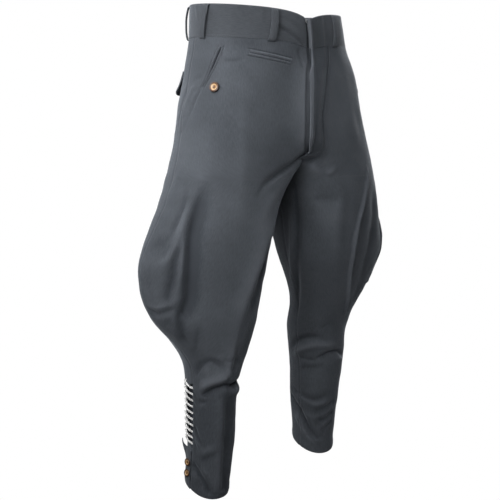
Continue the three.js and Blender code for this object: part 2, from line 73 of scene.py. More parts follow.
SENSOR, LENS = 36.0, 97.2
CAMERA_TURN = math.radians(-42)
CAMERA_AWAY, CAMERA_HEIGHT = 2.6, -0.19
AIM_HEIGHT, AIM_SIDE = -0.436, -0.028
eye = add_object("camera", bpy.data.cameras.new("camera"))
eye.location = (CAMERA_AWAY * math.sin(CAMERA_TURN), -CAMERA_AWAY * math.cos(CAMERA_TURN),
                CAMERA_HEIGHT)
eye.data.sensor_width, eye.data.lens = SENSOR, LENS
aim(eye, (AIM_SIDE * math.cos(CAMERA_TURN), AIM_SIDE * math.sin(CAMERA_TURN), AIM_HEIGHT))
scene.camera = eye
scene.view_settings.view_transform = "Standard"
print("camera at", [round(v, 3) for v in eye.location])

# %% Lamps: name, place, what it looks at, size, watts and spread in degrees
LAMPS = (
    ("top", (-0.44, 0, 0.97), (0, 0, -0.25), 0.9, 7.0, 180),
    ("key", (-1.87, -0.5, 0.55), (0, 0, 0.05), 1.1, 5.5, 66),
    ("front", (-1.85, -1.44, 0.6), (0, 0, 0.05), 1.2, 5.0, 66),
    ("high front", (-0.23, -1.29, 0.87), (0, 0, -0.08), 1.0, 1.4, 80),
    ("near edge", (-0.98, 0.98, 0.55), (0, 0, -0.25), 1.0, 7.8, 180),
    ("far edge", (1.63, 0.62, 0.15), (0, 0, -0.25), 0.9, 19, 180),
)
for lamp_name, where, target, size, watts, spread_angle in LAMPS:
    lamp = add_object(lamp_name, bpy.data.lights.new(lamp_name, "AREA"))
    lamp.location = where
    lamp.data.shape = "RECTANGLE"
    lamp.data.size = lamp.data.size_y = size
    lamp.data.energy, lamp.data.spread = watts, math.radians(spread_angle)
    aim(lamp, target)
print("lamps:", len(LAMPS))


# %% Node helpers
def feed(node, inputs):
    """Give a node's inputs their values, or link them to outputs of other nodes."""
    for key, value in dict(inputs).items():
        if isinstance(value, bpy.types.NodeSocket):
            node.id_data.links.new(value, node.inputs[key])
        else:
            node.inputs[key].default_value = value


def add_node(tree, kind, inputs=(), **settings):
    node = tree.nodes.new("ShaderNode" + kind)
    for key, value in settings.items():
        setattr(node, key, value)
    feed(node, inputs)
    return node


def by_camera(tree, lit, seen, out):
    """One shader where light meets a surface, another where the camera looks at it."""
    rays = add_node(tree, "LightPath").outputs["Is Camera Ray"]
    mix = add_node(tree, "MixShader", {0: rays, 1: lit.outputs[0], 2: seen.outputs[0]})
    feed(out, {"Surface": mix.outputs[0]})


# %% World and floor
FILL_LIGHT = {"Color": (0.93, 0.96, 1, 1), "Strength": 0.005}
BACKDROP = {"Color": (1, 1, 1, 1), "Strength": 1.0}
FLOOR_LEVEL, FLOOR_HALF = -1.0, 15.0
FLOOR_LOOK = {"Base Color": (0.2, 0.2, 0.2, 1), "Roughness": 1.0, "Specular IOR Level": 0.0}


def make_world():
    """White where the camera looks past the object, and a weak fill for everything else."""
    scene.world = bpy.data.worlds.new("studio")
    scene.world.use_nodes = True
    tree = scene.world.node_tree
    tree.nodes.clear()
    fill, seen = (add_node(tree, "Background", values) for values in (FILL_LIGHT, BACKDROP))
    by_camera(tree, fill, seen, add_node(tree, "OutputWorld"))


def make_floor():
    """A wide pale floor, which looks evenly lit from the camera as a studio sweep does."""
    mesh = bpy.data.meshes.new("floor")
    mesh.from_pydata([(x * FLOOR_HALF, y * FLOOR_HALF, FLOOR_LEVEL) for x, y in
                      ((-1, -1), (1, -1), (1, 1), (-1, 1))], [], [(0, 1, 2, 3)])
    look = bpy.data.materials.new("pale_floor")
    look.use_nodes = True
    tree = look.node_tree
    paint = tree.nodes["Principled BSDF"]
    feed(paint, FLOOR_LOOK)
    by_camera(tree, paint, add_node(tree, "Emission"), tree.nodes["Material Output"])
    mesh.materials.append(look)
    add_object("floor", mesh)


make_world()
make_floor()
print("floor at", FLOOR_LEVEL, "m")

# %% [markdown]
# ## The worn shape
# Cloth over a body has no flat face, so the garment is one smooth surface that every piece is
# laid on. A tailor's tables do this: each row is a ring round one leg, with its reach outward,
# inward, to the front and to the back, and a number for how square it is. A smooth curve joins
# the rows. A second table says how the legs stand. Any place on the cloth is then an angle
# round the leg (90 is the front, 180 the outside) and a height, both easy to think in.

# %% Tables, in millimetres
RIGHT, LEFT = -1, 1
WORDS = {RIGHT: "right", LEFT: "left"}
RIM, BAND_FOOT, HEM = 28.0, -33.2, -860.0
CLOTH, THIN, SEAM = 1.6, 1.2, 0.5
SECTIONS = """
z centre depth outer inner front back front_power back_power inner_power seam
28 0 0 157 157 117 119 2.15 2.15 2.15 190
0 0 0 160 160 120 122 2.15 2.15 2.15 190
-30 0 0 163 163 119 124 2.2 2.15 2.2 190
-85 10 0 168 174 116 124 2.5 2.05 2.3 189
-150 25 0 170 167 113 124 2.7 2.0 2.6 188
-205 50 0 156 142 112 120 2.7 2.0 3.0 187
-250 74 0 145 118 110 114 2.6 2.0 2.9 186
-290 92 0 142 94 108 110 2.4 2.0 2.4 185
-335 106 0 146 88 104 103 2.2 1.9 2.1 184
-390 116 0 164 86 100 94 1.95 1.75 2.0 184
-445 120 0 180 83 94 84 1.8 1.65 2.0 185
-495 122 2 169 77 86 74 1.75 1.7 2.0 186
-545 124 2 134 68 76 70 1.9 1.9 2.0 184
-590 126 2 84 61 67 67 2.0 2.0 2.0 183
-635 127 0 52 52 60 62 2.1 2.1 2.1 181
-690 128 -2 47 47 52 58 2.1 2.1 2.1 184
-750 128 -2 43 44 47 53 2.1 2.1 2.1 188
-810 128 -2 40 39 42 47 2.1 2.1 2.1 188
-860 128 -2 38 37 41 44 2.1 2.1 2.1 186
"""
STANCE = """
z out_right back_right full_right out_left back_left full_left
28 -4 0 1 4 0 1
-30 -9 0 1 9 0 1
-60 -10 0 1 10 0 1
-150 -12 0 1 12 0 1
-205 -14 0 1 14 0 1
-250 -16 0 1 16 0 1
-300 -17 0 1 17 0 1
-360 -6 -9 1.01 18 2 1
-445 13 -24 1.02 25 6 0.97
-505 25 -35 1.02 35 12 0.87
-555 36 -46 1.05 43 24 0.82
-605 48 -58 0.99 50 38 0.93
-655 61 -66 0.91 57 46 1.04
-750 63 -67 0.92 47 40 1.03
-860 72 -66 1 34 32 1
"""
WAIST_SHAPE = {"drop": 3, "front_dip": 10, "fly_dip": 16, "fly_reach": 11.5, "tilt": 5,
               "fades": 178}
HEM_SHAPE = {"rise": 19, "begins": -740, RIGHT: (112, 6), LEFT: (70, -1)}
SOFTEN = 10.0


def smooth_between(t, gap, values, slopes, i):
    """A smooth curve from each value i to the next, with the given slopes at both."""
    return ((1 + 2 * t) * (1 - t) ** 2 * values[i] + t * (1 - t) ** 2 * gap * slopes[i]
            + t * t * (3 - 2 * t) * values[i + 1] + t * t * (t - 1) * gap * slopes[i + 1])


def steady_curve(heights, values):
    """A curve through the values that never swings past them; the heights go down."""
    steps = heights[:-1] - heights[1:]
    slopes = (values[1:] - values[:-1]) / steps
    before, after = slopes[:-1], slopes[1:]
    both = np.where(before + after == 0, 1, before + after)
    inner = np.where(before * after <= 0, 0, 2 * before * after / both)
    tangents = np.concatenate(([slopes[0]], inner, [slopes[-1]]))

    def curve(height):
        i = np.clip(np.searchsorted(-heights, -height, side="left") - 1, 0, len(steps) - 1)
        return smooth_between((heights[i] - height) / steps[i], steps[i], values, tangents, i)

    return curve


def softened(curve):
    """The same curve with its bends eased out, so that light runs over it without bands."""
    beyond = int(3 * SOFTEN)
    down = np.arange(-RIM - 2 * beyond, -HEM + 2 * beyond + 1)
    window = np.exp(-(np.arange(-beyond, beyond + 1) / SOFTEN) ** 2 / 2)
    soft = np.convolve(curve(-down), window / window.sum(), "valid")
    inside = down[beyond:-beyond]
    return lambda height: np.interp(-np.asarray(height, float), inside, soft)


def curves_of(table):
    """A curve over z for each of a table's other columns."""
    names, *rows = (line.split() for line in table.strip().splitlines())
    columns = np.array(rows, float).T
    return {name: softened(steady_curve(columns[0], column))
            for name, column in zip(names[1:], columns[1:])}


section, stance = curves_of(SECTIONS), curves_of(STANCE)
print("curves:", len(section) + len(stance))


# %% Any place on the worn surface
def ease(start, end, value):
    """0 at start, 1 at end, and smooth between."""
    t = np.clip((value - start) / (end - start), 0, 1)
    return t * t * (3 - 2 * t)


def bell(distance, width):
    """1 at no distance, and falling away smoothly on both sides."""
    return np.exp(-(distance / width) ** 2)


def unit(vectors):
    return vectors / np.maximum(np.linalg.norm(vectors, axis=-1, keepdims=True), 1e-12)


def level(side, angle, z, x):
    """The real height of a place whose ring is at z."""
    from_front = np.abs(angle - 90)
    near_front = ((1 + np.cos(np.radians(from_front))) / 2) ** 1.5
    dip = (WAIST_SHAPE["drop"] + WAIST_SHAPE["front_dip"] * near_front
           + WAIST_SHAPE["fly_dip"] * np.exp(-from_front / WAIST_SHAPE["fly_reach"])
           + WAIST_SHAPE["tilt"] * x / float(section["outer"](0)))
    lowest, drop = HEM_SHAPE[side]
    hem = HEM_SHAPE["rise"] * (1 - np.cos(np.radians(angle - lowest))) - drop
    return (z - dip * ease(RIM - WAIST_SHAPE["fades"], RIM, z)
            + hem * ease(HEM_SHAPE["begins"], HEM, z))


def place_on(side, angle, z):
    """Points of the surface in its shape on the body, in millimetres, for arrays of angles and
    heights.
    """
    angle, z = np.broadcast_arrays(np.asarray(angle, float), np.asarray(z, float))
    across, along = np.cos(np.radians(angle)), np.sin(np.radians(angle))
    full, out, back = (stance[f"{way}_{WORDS[side]}"](z) for way in ("full", "out", "back"))
    outer_power = np.where(along > 0, section["front_power"](z), section["back_power"](z))
    power = np.where(across > 0, section["inner_power"](z), outer_power)
    reach_x = np.where(across > 0, -section["inner"](z), section["outer"](z))
    reach_y = np.where(along > 0, -section["front"](z), section["back"](z))
    out = section["centre"](z) + reach_x * np.abs(across) ** (2 / power) * full + out
    back = section["depth"](z) + reach_y * np.abs(along) ** (2 / power) * full + back
    return np.stack([side * out, back, level(side, angle, z, side * out)], axis=-1)


def ways_on(side, angle, z):
    """Vectors along the surface, for one degree round it and for two millimetres of z."""
    angle, z = np.broadcast_arrays(np.asarray(angle, float), np.asarray(z, float))
    return (place_on(side, angle + 0.5, z) - place_on(side, angle - 0.5, z),
            place_on(side, angle, z + 1) - place_on(side, angle, z - 1))


def spot_on(side, angle, z):
    """Points of the surface and its outward normals."""
    around, upward = ways_on(side, angle, z)
    return place_on(side, angle, z), unit(np.cross(around, upward) * side)


def raised(side, angle, z, lift):
    """Points that stand off the surface by so many millimetres."""
    point, normal = spot_on(side, angle, z)
    return point + normal * np.asarray(lift)[..., None]


def beside(side, angle, z, around, up=0.0):
    """The angle and height of a place some millimetres round and up from another."""
    degree, rise = (np.linalg.norm(way, axis=-1) for way in ways_on(side, angle, z))
    return np.broadcast_arrays(angle + around / degree, z + up / (rise / 2))


def middle_angle(z):
    """The angle at which a ring meets the middle plane, where the halves are sewn."""
    share = np.clip((section["centre"](z) - SEAM / 2) / section["inner"](z), 0, 1)
    return np.degrees(np.arccos(share ** (section["inner_power"](z) / 2)))


def crotch_height(sewn=-280.0, parted=-320.0):
    """Close in on the height where the halves part."""
    while sewn - parted > 1e-4:
        middle = (sewn + parted) / 2
        sewn, parted = (middle, parted) if middle_angle(middle) > 0 else (sewn, middle)
    return parted


CROTCH = crotch_height()
print("the legs part at z =", round(CROTCH, 1), "mm")

# %% [markdown]
# ## Folds
# Cloth simulation gives folds that nobody chose. Here each fold is placed one by one, as a
# sculptor would: a route over the cloth, how far it rises or sinks, and how wide it is on each
# side. A fold that leans has one steep side and one soft one, as real cloth does where it hangs
# over itself. A little slow unevenness is added everywhere, because nothing worn is a perfect
# curve.

# %% How folds are laid on the surface
FOLDS = {RIGHT: [], LEFT: []}
FOLD_REACH = 3.2


def line_lengths(points):
    """How far along a line each of its points is."""
    steps = np.linalg.norm(np.diff(points, axis=0), axis=1)
    return np.concatenate(([0], np.cumsum(steps)))


def smooth_route(side, places, step=3.0):
    """A smooth line through (angle, z) places, with a point every few millimetres."""
    places = np.array(places, float)
    lengths = line_lengths(place_on(side, places[:, 0], places[:, 1]))
    target = np.linspace(0, lengths[-1], max(int(lengths[-1] / step), 6))
    tangents = np.gradient(places, lengths, axis=0) if len(places) > 2 else np.repeat(
        np.diff(places, axis=0) / lengths[-1], 2, axis=0)
    i = np.clip(np.searchsorted(lengths, target, side="right") - 1, 0, len(places) - 2)
    gap = (lengths[i + 1] - lengths[i])[:, None]
    return smooth_between((target - lengths[i])[:, None] / gap, gap, places, tangents, i)


def lay_fold(side, rise, width, ends, lean, places):
    """Lay one fold: rise above the cloth (or below it, if negative) and half width, in
    millimetres, along (angle, z) places. Lean makes the left of its direction softer."""
    point, normal = spot_on(side, *smooth_route(side, places).T)
    left = unit(np.cross(normal, unit(np.gradient(point, axis=0))))
    FOLDS[side].append({"rise": rise, "width": width, "ends": ends, "lean": lean,
                        "points": point, "left": left})


def lay_folds(table, *sides):
    """Lay a table's folds. A row gives rise, half width, the shares of the length over which
    the fold fades at its start and end, the lean if it has any, and after a colon each place
    as angle,z."""
    for row in table.strip().replace("\n  ", " ").splitlines():
        sizes, places = row.split(":")
        rise, width, start, end, *lean = map(float, sizes.split())
        places = [place.split(",") for place in places.split()]
        for side in sides:
            lay_fold(side, rise, width, (start, end), sum(lean), places)


def near_line(points, line, reach):
    """Which points may lie within reach of a line, the nearest point of the line to each of
    them, the way from it, and the square of the distance."""
    low, high = line.min(0) - reach, line.max(0) + reach
    near = np.flatnonzero(np.all((points > low) & (points < high), axis=1))
    away = points[near][:, None, :] - line
    squared = np.einsum("ijk,ijk->ij", away, away)
    nearest, rows = squared.argmin(1), np.arange(len(near))
    return near, nearest, away[rows, nearest], squared[rows, nearest]


def fold_rise(f, points):
    """How far one fold lifts each of the points."""
    rise = np.zeros(len(points))
    near, nearest, away, squared = near_line(
        points, f["points"], FOLD_REACH * f["width"] * (1 + abs(f["lean"])))
    signed = np.einsum("ij,ij->i", away, f["left"][nearest])
    width = f["width"] * (1 + f["lean"] * np.tanh(signed / f["width"]))
    t = nearest / (len(f["points"]) - 1)
    start, end = (max(share, 1e-3) for share in f["ends"])
    rise[near] = (f["rise"] * ease(0, start, t) * ease(1, 1 - end, t)
                  * np.exp(-squared / width ** 2))
    return rise


UNEVEN = np.random.default_rng(7)
WAVES = [(unit(UNEVEN.normal(size=3)) * 2 * math.pi / length, UNEVEN.uniform(0, 6.28), height)
         for length, height in ((150, 0.9), (118, 0.7), (86, 0.5), (64, 0.35), (47, 0.22),
                                (36, 0.15), (27, 0.1))]


def relief(side, angle, z):
    """How far the cloth stands off the smooth surface at each place, in millimetres."""
    points = place_on(side, angle, z)
    flat = points.reshape(-1, 3)
    rise = sum(height * np.sin(flat @ wave + start) for wave, start, height in WAVES)
    for f in FOLDS[side]:
        rise = rise + fold_rise(f, flat)
    return rise.reshape(points.shape[:-1])


def print_folds():
    print("folds:", len(FOLDS[RIGHT]), "right,", len(FOLDS[LEFT]), "left")


# %% Folds of the right leg
LACE_PULL_PITCH = 23
POCKET_BUTTON_AT = (159, -127)
# The wing of the thigh falls into a long valley from the hip, with others beside it.
lay_folds("""
-12.5 14 0.35 0.1 0.25: 141.5,-282 144,-302 145.3,-328 142.5,-363 139,-397 134.5,-431 133.5,-466
  134.5,-501 139,-520 145,-540
3.4 7 0.4 0.3: 150,-345 147,-380 144.3,-400 141.3,-431 140.5,-466 143,-500
-6 7.5 0.4 0.15 -0.2: 150,-372 147.3,-397 145.3,-431 145.6,-466 149,-492 152.5,-515
5 7 0.35 0.25 0.3: 156.5,-325 154,-354 150.5,-389 150,-414 152.5,-433 159,-441 168,-442
-4 6 0.35 0.4: 163,-300 160.5,-329 158.2,-363 158.5,-389 160.5,-411
-3.6 15 0.4 0.5: 154,-396 164.5,-404 180,-402
-1.6 4 0.4 0.4: 167.5,-432 166.5,-466 165,-496
2.6 7 0.3 0.5: 178.5,-272 180,-303 182,-327 187,-343
""", RIGHT)
# A dart-like crease runs in from the edge of the wing. Below it the cloth sinks to the knee.
lay_folds("""
2.2 4 0.2 0.3: 176,-508 167,-517 157,-513 148,-507
-4.2 4.4 0.15 0.4 -0.3: 177,-515 173,-518 166.5,-526 157,-522 149,-517 141,-510
-3.5 13 0.5 0.5: 170,-538 160,-543 150,-546
-7.5 9 0.2 0.35 0.2: 141,-515 144.5,-533 149,-551 155,-571 163,-592
""", RIGHT)
# The front of the thigh turns in along a soft edge, as pressed cloth does.
lay_folds("""
6.5 14 0.25 0.45 -0.5: 60,-338 66,-380 74,-422 83,-460 91,-500 95,-540 98,-578 99,-606
3 9 0.4 0.15 -0.5: 96,-560 98,-590 99,-620 99,-648
-3 12 0.5 0.2: 60,-500 66,-550 72,-600 76,-640
2 13 0.4 0.5: 134,-95 131,-132 125,-204 116,-275 110,-347 106,-420
""", RIGHT)
# The knee: an arched crease over a wedge of slack, whose bright ridge ends in the deep crease
# under it. That one runs to the inside, where the leg's outline is nipped in.
lay_folds("""
-4.4 5.5 0.2 0.3 0.2: 176,-650 168,-637 158,-627 146,-619 133,-615 120,-621 107,-632 94,-641
-2 5 0.4 0.4: 118,-609 103,-616 88,-613
-6 7.5 0.35 0.3: 94,-665 76,-663 56,-661 30,-658
-2.4 6 0.4 0.4: 128,-535 132,-555 144,-584 163,-612
2.6 9 0.4 0.5: 158,-640 144,-633 131,-631
6 8 0.25 0.25 0.3: 168,-664 158,-663 138,-654 116,-648 98,-643 88,-641
-6.5 4.6 0.1 0.3 -0.35: 160,-681 154,-677 138,-667 116,-661 102,-659 86,-661 64,-660 40,-657
  16,-653
5 8 0.3 0.35: 92,-676 76,-674 54,-672 30,-670 6,-668
2 4.5 0.4 0.4: 162,-680 148,-681 132,-678
-2.4 4.2 0.4 0.4: 172,-690 156,-690 141,-687
1.6 5 0.5 0.5: 170,-698 156,-698 142,-695
-3.5 8 0.4 0.3: 86,-602 87,-622 89,-640
""", RIGHT)
# The shin has an edge too: the cloth is flat at each side of it.
lay_folds("""
3.4 9 0.15 0 -0.5: 110,-668 109,-703 109,-740 109,-775 107,-810 105,-850
-3.6 9 0.1 0: 88,-672 88,-703 88,-740 89,-775 87,-810 85,-850
""", RIGHT)
# Short pulls slant down from the lacing, and soft creases cross the calf above the hem.
for down in range(0, 5 * LACE_PULL_PITCH, LACE_PULL_PITCH):
    lay_fold(RIGHT, -1.5, 3.4, (0.1, 0.6), 0.0,
             [(184, -668 - down), (177, -678 - down), (168, -692 - down)])
lay_folds("""
-2.6 4.5 0.2 0.4: 186,-734 182,-740 167,-760 149,-776 134,-780
2.6 4.5 0.2 0.5: 188,-744 186,-750 173,-765 156,-776 140,-786
2.6 6 0.4 0.4: 175,-782 148,-782 130,-775 112,-768
-2.2 5 0.3 0.35 -0.2: 164,-800 156,-796 134,-787 113,-780 95,-776
-5.5 5 0.15 0.2: 186,-806 181,-811 164,-819 148,-829 132,-844 126,-856
2.4 6 0.3 0.5: 158,-806 144,-816 130,-828
1.8 6 0.3 0.4: 184,-822 172,-828 158,-838
""", RIGHT)
# The hip and the thigh's front.
lay_folds("""
-2.2 3.2 0.2 0.6: 99,-40 97,-52 94.5,-66 91,-90
-1.3 5 0.4 0.4: 158,-76 146,-78.5 134,-72
""", RIGHT)
# Wrinkles down the side seam below the pocket.
lay_folds("""
-1.8 3.6 0.2 0.5: 171.5,-120 176,-141 178,-162 180.5,-190 184,-214
1.8 3.6 0.2 0.5: 178,-118 182,-140 185,-165 187,-195
-1.8 3.6 0.2 0.5: 185,-118 189,-140 192,-170 194,-212
-1.3 3.2 0.3 0.3: 172,-104 181,-112
-1.3 3.2 0.3 0.3: 174,-128 184,-138
-1.3 3.2 0.3 0.3: 176,-152 187,-160
-1.3 3.2 0.3 0.3: 178,-176 189,-186
-1.3 3.2 0.3 0.3: 180,-200 190,-212
""", RIGHT)
# The watch pocket's two jets are stitched down along ditches.
lay_folds("""
-2 1.4 0.05 0.05: 136,-52.9 118,-59.4 100,-65.9
-2 1.4 0.05 0.05: 136,-66.1 118,-72.6 100,-79.1
""", RIGHT)
# Small pulls fan out from the pocket's button.
for pulled in ((150, -139), (154, -146), (162, -148), (147, -129), (152, -112)):
    lay_fold(RIGHT, -1, 3, (0.2, 0.7), 0.0, [POCKET_BUTTON_AT, pulled])
print_folds()

# %% Folds of the left leg
lay_folds("""
6.5 4.4 0.12 0.12: 119,-268 116.5,-293 110.5,-322 105.5,-351 99.5,-390 96,-440 96.5,-481
  100.5,-524 108.5,-569 111.5,-590
-4.8 15 0.25 0.2: 131,-300 127,-342 122,-390 117,-440 117,-486 120,-529 121,-560
-3.2 14 0.4 0.5: 92,-300 86,-360 82,-430 84,-500
""", LEFT)
# Its inside edge: a dark line down from the crotch beside a narrow ridge.
lay_folds("""
-4.5 6 0.1 0.3: 28,-285 26,-300 22,-378 15,-459 1,-546 -7,-611
3.6 5 0.3 0.3: 22,-330 16,-359 11.5,-419 2.2,-481 -12.5,-525
""", LEFT)
# The knee: the same ridge and crease as on the other leg, seen from its inside.
lay_folds("""
-4.6 6 0.25 0.4: -22,-654 -12,-644 2,-632 19,-624 47,-620 62,-616
-2.2 4.5 0.3 0.5: 48,-608 52,-606 67,-596 84,-591
5 7 0.3 0.25: -20,-668 -12,-664 18,-646 46,-638 73,-638 96,-634
-6 4.4 0.2 0.3 -0.3: 40,-668 50,-663 68,-655 88,-652 107,-659 126,-664
3.6 6 0.4 0.4: 84,-664 100,-670 116,-674
-2.2 4.5 0.3 0.3: 2,-664 11,-667 32,-670 50,-667
-2.6 5.5 0.3 0.4: 0,-690 8,-688 39,-684 67,-680
""", LEFT)
# Above the hem the slack hangs in a pointed swag.
lay_folds("""
-3 6 0.2 0.3: -30,-727 -26,-730 9,-745 36,-751 61,-745 91,-729
3.6 5.5 0.2 0.3: -15,-738 -9,-741 20,-754 47,-761 73,-755 93,-743
-5.5 5.5 0.12 0.3: -39,-742 -35,-748 -4,-774 14,-798 35,-819 62,-831 84,-828
4 6 0.2 0.3: -20,-784 -10,-794 14,-821 39,-838 68,-841
2.2 5 0.4 0.4: 4,-771 24,-786 44,-789 62,-783
-3.2 4.2 0.25 0.25: 38,-777 43,-776 70,-768 100,-756 108,-752
-3 4.2 0.25 0.25: 48,-799 52,-797 82,-789 107,-777
-2.8 4.2 0.25 0.25: 60,-820 66,-817 84,-808 102,-797
2.4 4.2 0.3 0.3: 48,-787 76,-779 104,-766
2.2 4.2 0.3 0.3: 58,-808 84,-799 105,-787
""", LEFT)
# The left wing and hip, out of sight from the front, are like the right ones.
lay_folds("""
-6 13 0.35 0.2 -0.3: 152,-300 154,-350 150,-400 147,-450 150,-505
3.5 9 0.4 0.4: 163,-350 160,-400 157,-450
-3.8 5 0.2 0.45: 176,-527 165,-529 155,-528 143,-522
2.2 5 0.2 0.45: 176,-517 163,-518 150,-516
-1.2 14 0.3 0.3: 123,-64 122,-127 121,-205 118,-262
-1.8 3.6 0.2 0.5: 171.5,-120 176,-141 178,-162 180.5,-190 184,-214
""", LEFT)
print_folds()

# %% Folds of the band
lay_folds("""
1.6 5 0.25 0.3: 118,6 112,0 105,-8 97,-18
-4.4 3.6 0.15 0.1: 117,-3 112,-9 106,-16 100,-24 93,-34
-1.6 4 0.3 0.4: 113,18 108,10 101,2 96,-6
-1.6 6 0.3 0.4: 123,24 124,8 123,-8
-1.4 5 0.3 0.4: 170,22 170,8 168,-4
2.4 4 0.1 0.5: 188,27 186,12 184,-6
""", RIGHT)
lay_folds("""
-1.2 7 0.4 0.4: 100,-6 106,-20 110,-32
""", LEFT)
print_folds()

# %% Folds that start at the crotch
# Both fronts rise to a soft edge where they meet, since the fly is stiffer than they are.
for leg in (RIGHT, LEFT):
    lay_fold(leg, 10.5, 34, (0.33, 0.25), 0.0,
             [(float(middle_angle(z)), z) for z in (-20, -90, -150, -205, -262)])
# The fly's stiff edge holds the left front up, and it falls away to the fly's stitching.
lay_folds("""
-2.6 12 0.25 0.15 -0.35: 103.5,-44 101,-64 98,-86 94,-115 91,-150 88.5,-185 86.5,-215 83,-238
""", LEFT)
# A deep one pulls out from the fly's foot over the right thigh, with a bright ridge under it.
lay_folds("""
-6.5 5.5 0.06 0.6 -0.4: 56,-252 65,-261 72,-270 78.5,-277 85,-286 90,-295 94,-306 97,-320
  99,-342
2.4 12 0.15 0.6: 52,-280 68,-306 83,-340 90,-367 92,-402
-4 10 0.3 0.3: 60,-385 65,-420 67,-455 68,-487 74,-512 80,-537 88,-565
-1.6 8 0.1 0.6: 30,-284 38,-306 50,-335 58,-370
""", RIGHT)
# The left thigh is broad and soft, and small puckers gather round the fly's foot.
lay_folds("""
3 30 0.4 0.4: 75,-320 75,-380 78,-430 80,-490
-2.6 2.8 0.1 0.35: 50,-258 60.8,-258 72,-253 83,-241
-2.2 2.6 0.1 0.4: 52,-259 58,-264 66,-264
-2 3.2 0.2 0.4: 62,-268 67,-276 77,-270
3 6 0.3 0.5: 54,-270 57,-285 54,-302
2.6 7 0.4 0.4: 66,-286 76,-284 86,-277
-3.6 19 0.35 0.4: 46,-324 59,-336 68,-342 82,-347
1.8 3.2 0.1 0.3: 54,-251 65,-249 76,-243 82,-236
-1.8 1.8 0.1 0.2: 55,-244 62,-244 71,-243 77,-241
""", LEFT)
# Behind, the seat's slack hangs in soft folds under each buttock.
lay_folds("""
-3.5 12 0.15 0.5: 335,-270 318,-288 298,-300 276,-304
2.6 13 0.2 0.5: 338,-248 316,-262 292,-272
-2.6 11 0.15 0.5: 340,-305 322,-330 304,-350 286,-360
""", RIGHT, LEFT)
# More lie behind the wing and behind the knee.
lay_folds("""
-4 15 0.4 0.25: 214,-330 217,-400 221,-470 224,-525
-4 8 0.3 0.5: 196,-532 210,-528 226,-530 242,-540
-4.2 7 0.25 0.25: 218,-644 240,-650 264,-652 290,-648 312,-642
3.2 8 0.3 0.3: 222,-628 250,-632 282,-632 308,-626
2.6 8 0.3 0.3: 226,-664 254,-668 286,-664
-3 7 0.3 0.3: 232,-682 258,-688 284,-684
""", RIGHT, LEFT)
print_folds()

# %% [markdown]
# ## From a grid to a piece of cloth
# A panel is a grid of places on the surface. Two copies of the grid, a cloth's thickness
# apart, are joined round every free edge, so slits and eyelets are real holes with edges. The
# mesh keeps two things for its material: UVs in metres of real cloth, which the weave follows,
# and how high each point stands, which the material turns into a lighter colour on ridges and a
# darker one in hollows: partly wear, partly painted light and painted shade.


# %% Mesh helpers
def new_object(name, points, faces, uvs=None, numbers=(), sharp=()):
    """An object from points in millimetres, with optional UVs and numbers per point."""
    mesh = bpy.data.meshes.new(name)
    mesh.from_pydata((np.asarray(points, float) * MM).tolist(), [], faces)
    mesh.shade_smooth()
    if uvs is not None:
        corner = np.zeros(len(mesh.loops), np.int32)
        mesh.loops.foreach_get("vertex_index", corner)
        corner_uvs = (np.asarray(uvs, float)[corner] * MM).astype(np.float32)
        mesh.uv_layers.new(name="cloth").data.foreach_set("uv", corner_uvs.ravel())
    for key, values in dict(numbers).items():
        attribute = mesh.attributes.new(key, "FLOAT", "POINT")
        attribute.data.foreach_set("value", np.asarray(values, np.float32))
    if len(sharp):
        wanted = {tuple(sorted(pair)) for pair in sharp}
        ends = np.zeros(len(mesh.edges) * 2, np.int32)
        mesh.edges.foreach_get("vertices", ends)
        marks = [tuple(pair) in wanted for pair in np.sort(ends.reshape(-1, 2)).tolist()]
        attribute = mesh.attributes.new("sharp_edge", "BOOLEAN", "EDGE")
        attribute.data.foreach_set("value", np.array(marks, bool))
    return add_object(name, mesh)


def grid_faces(rows, columns, kept=None):
    """Quads of a grid; kept marks the quads that are cloth."""
    i, j = np.meshgrid(np.arange(rows - 1), np.arange(columns - 1), indexing="ij")
    if kept is not None:
        i, j = i[kept], j[kept]
    corner = (i * columns + j).ravel()
    return np.stack([corner, corner + columns, corner + columns + 1, corner + 1], axis=1)


def free_edges(faces):
    """Edges that belong to one face only, in that face's direction."""
    edges = np.concatenate([faces[:, [k, (k + 1) % 4]] for k in range(4)])
    _, index, count = np.unique(np.sort(edges, axis=1), axis=0, return_index=True,
                                return_counts=True)
    return edges[index[count == 1]]


def cloth_piece(name, outer, inner, uv, wear_and_shade, kept=None):
    """A closed sheet between two grids of points, and its area in square metres."""
    faces = grid_faces(*outer.shape[:2], kept)
    edge = free_edges(faces)
    flat = outer.reshape(-1, 3)
    count = len(flat)
    points = np.concatenate([flat, inner.reshape(-1, 3)])
    walls = np.stack([edge[:, 1], edge[:, 0], edge[:, 0] + count, edge[:, 1] + count], axis=1)
    every = np.concatenate([faces, faces[:, ::-1] + count, walls])
    corner = points[every].transpose(1, 0, 2)
    volume = sum(np.sum(corner[0] * np.cross(corner[k], corner[k + 1])) for k in (1, 2))
    if volume < 0:
        every = every[:, ::-1]
    used = np.zeros(2 * count, bool)
    used[every.ravel()] = True
    number = np.cumsum(used) - 1
    # The stands numbers set the painted light on ridges and painted shade in hollows, with some
    # wear.
    piece = new_object(name, points[used], number[every].tolist(),
                       np.concatenate([uv.reshape(-1, 2)] * 2)[used],
                       {"stands": np.concatenate([wear_and_shade.ravel()] * 2)[used]},
                       number[np.concatenate([edge, edge + count])].tolist())
    a, b, c, d = (flat[faces[:, k]] for k in range(4))
    return piece, 0.5 * np.linalg.norm(np.cross(c - a, d - b), axis=1).sum() * MM * MM


def finish_piece(piece, looks, slot, *nodes):
    """Give a piece its material and its body, and hide the solids it stands for. The slot is not
    used.
    """
    piece.data.materials.append(looks)
    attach(piece, "root")
    if nodes:
        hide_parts(*nodes)


def finish_sheet(made, looks, slot, node, rests_on, flat, held="stretched", **area):
    """Finish a small sheet as finish_piece does; its rests_on, flat, held and area are not used.
    """
    finish_piece(made[0], looks, slot, node)


def pairs(first, second):
    return np.stack(np.broadcast_arrays(first, second), axis=-1)


print("free edges round 2 x 2 quads:", len(free_edges(grid_faces(3, 3))))
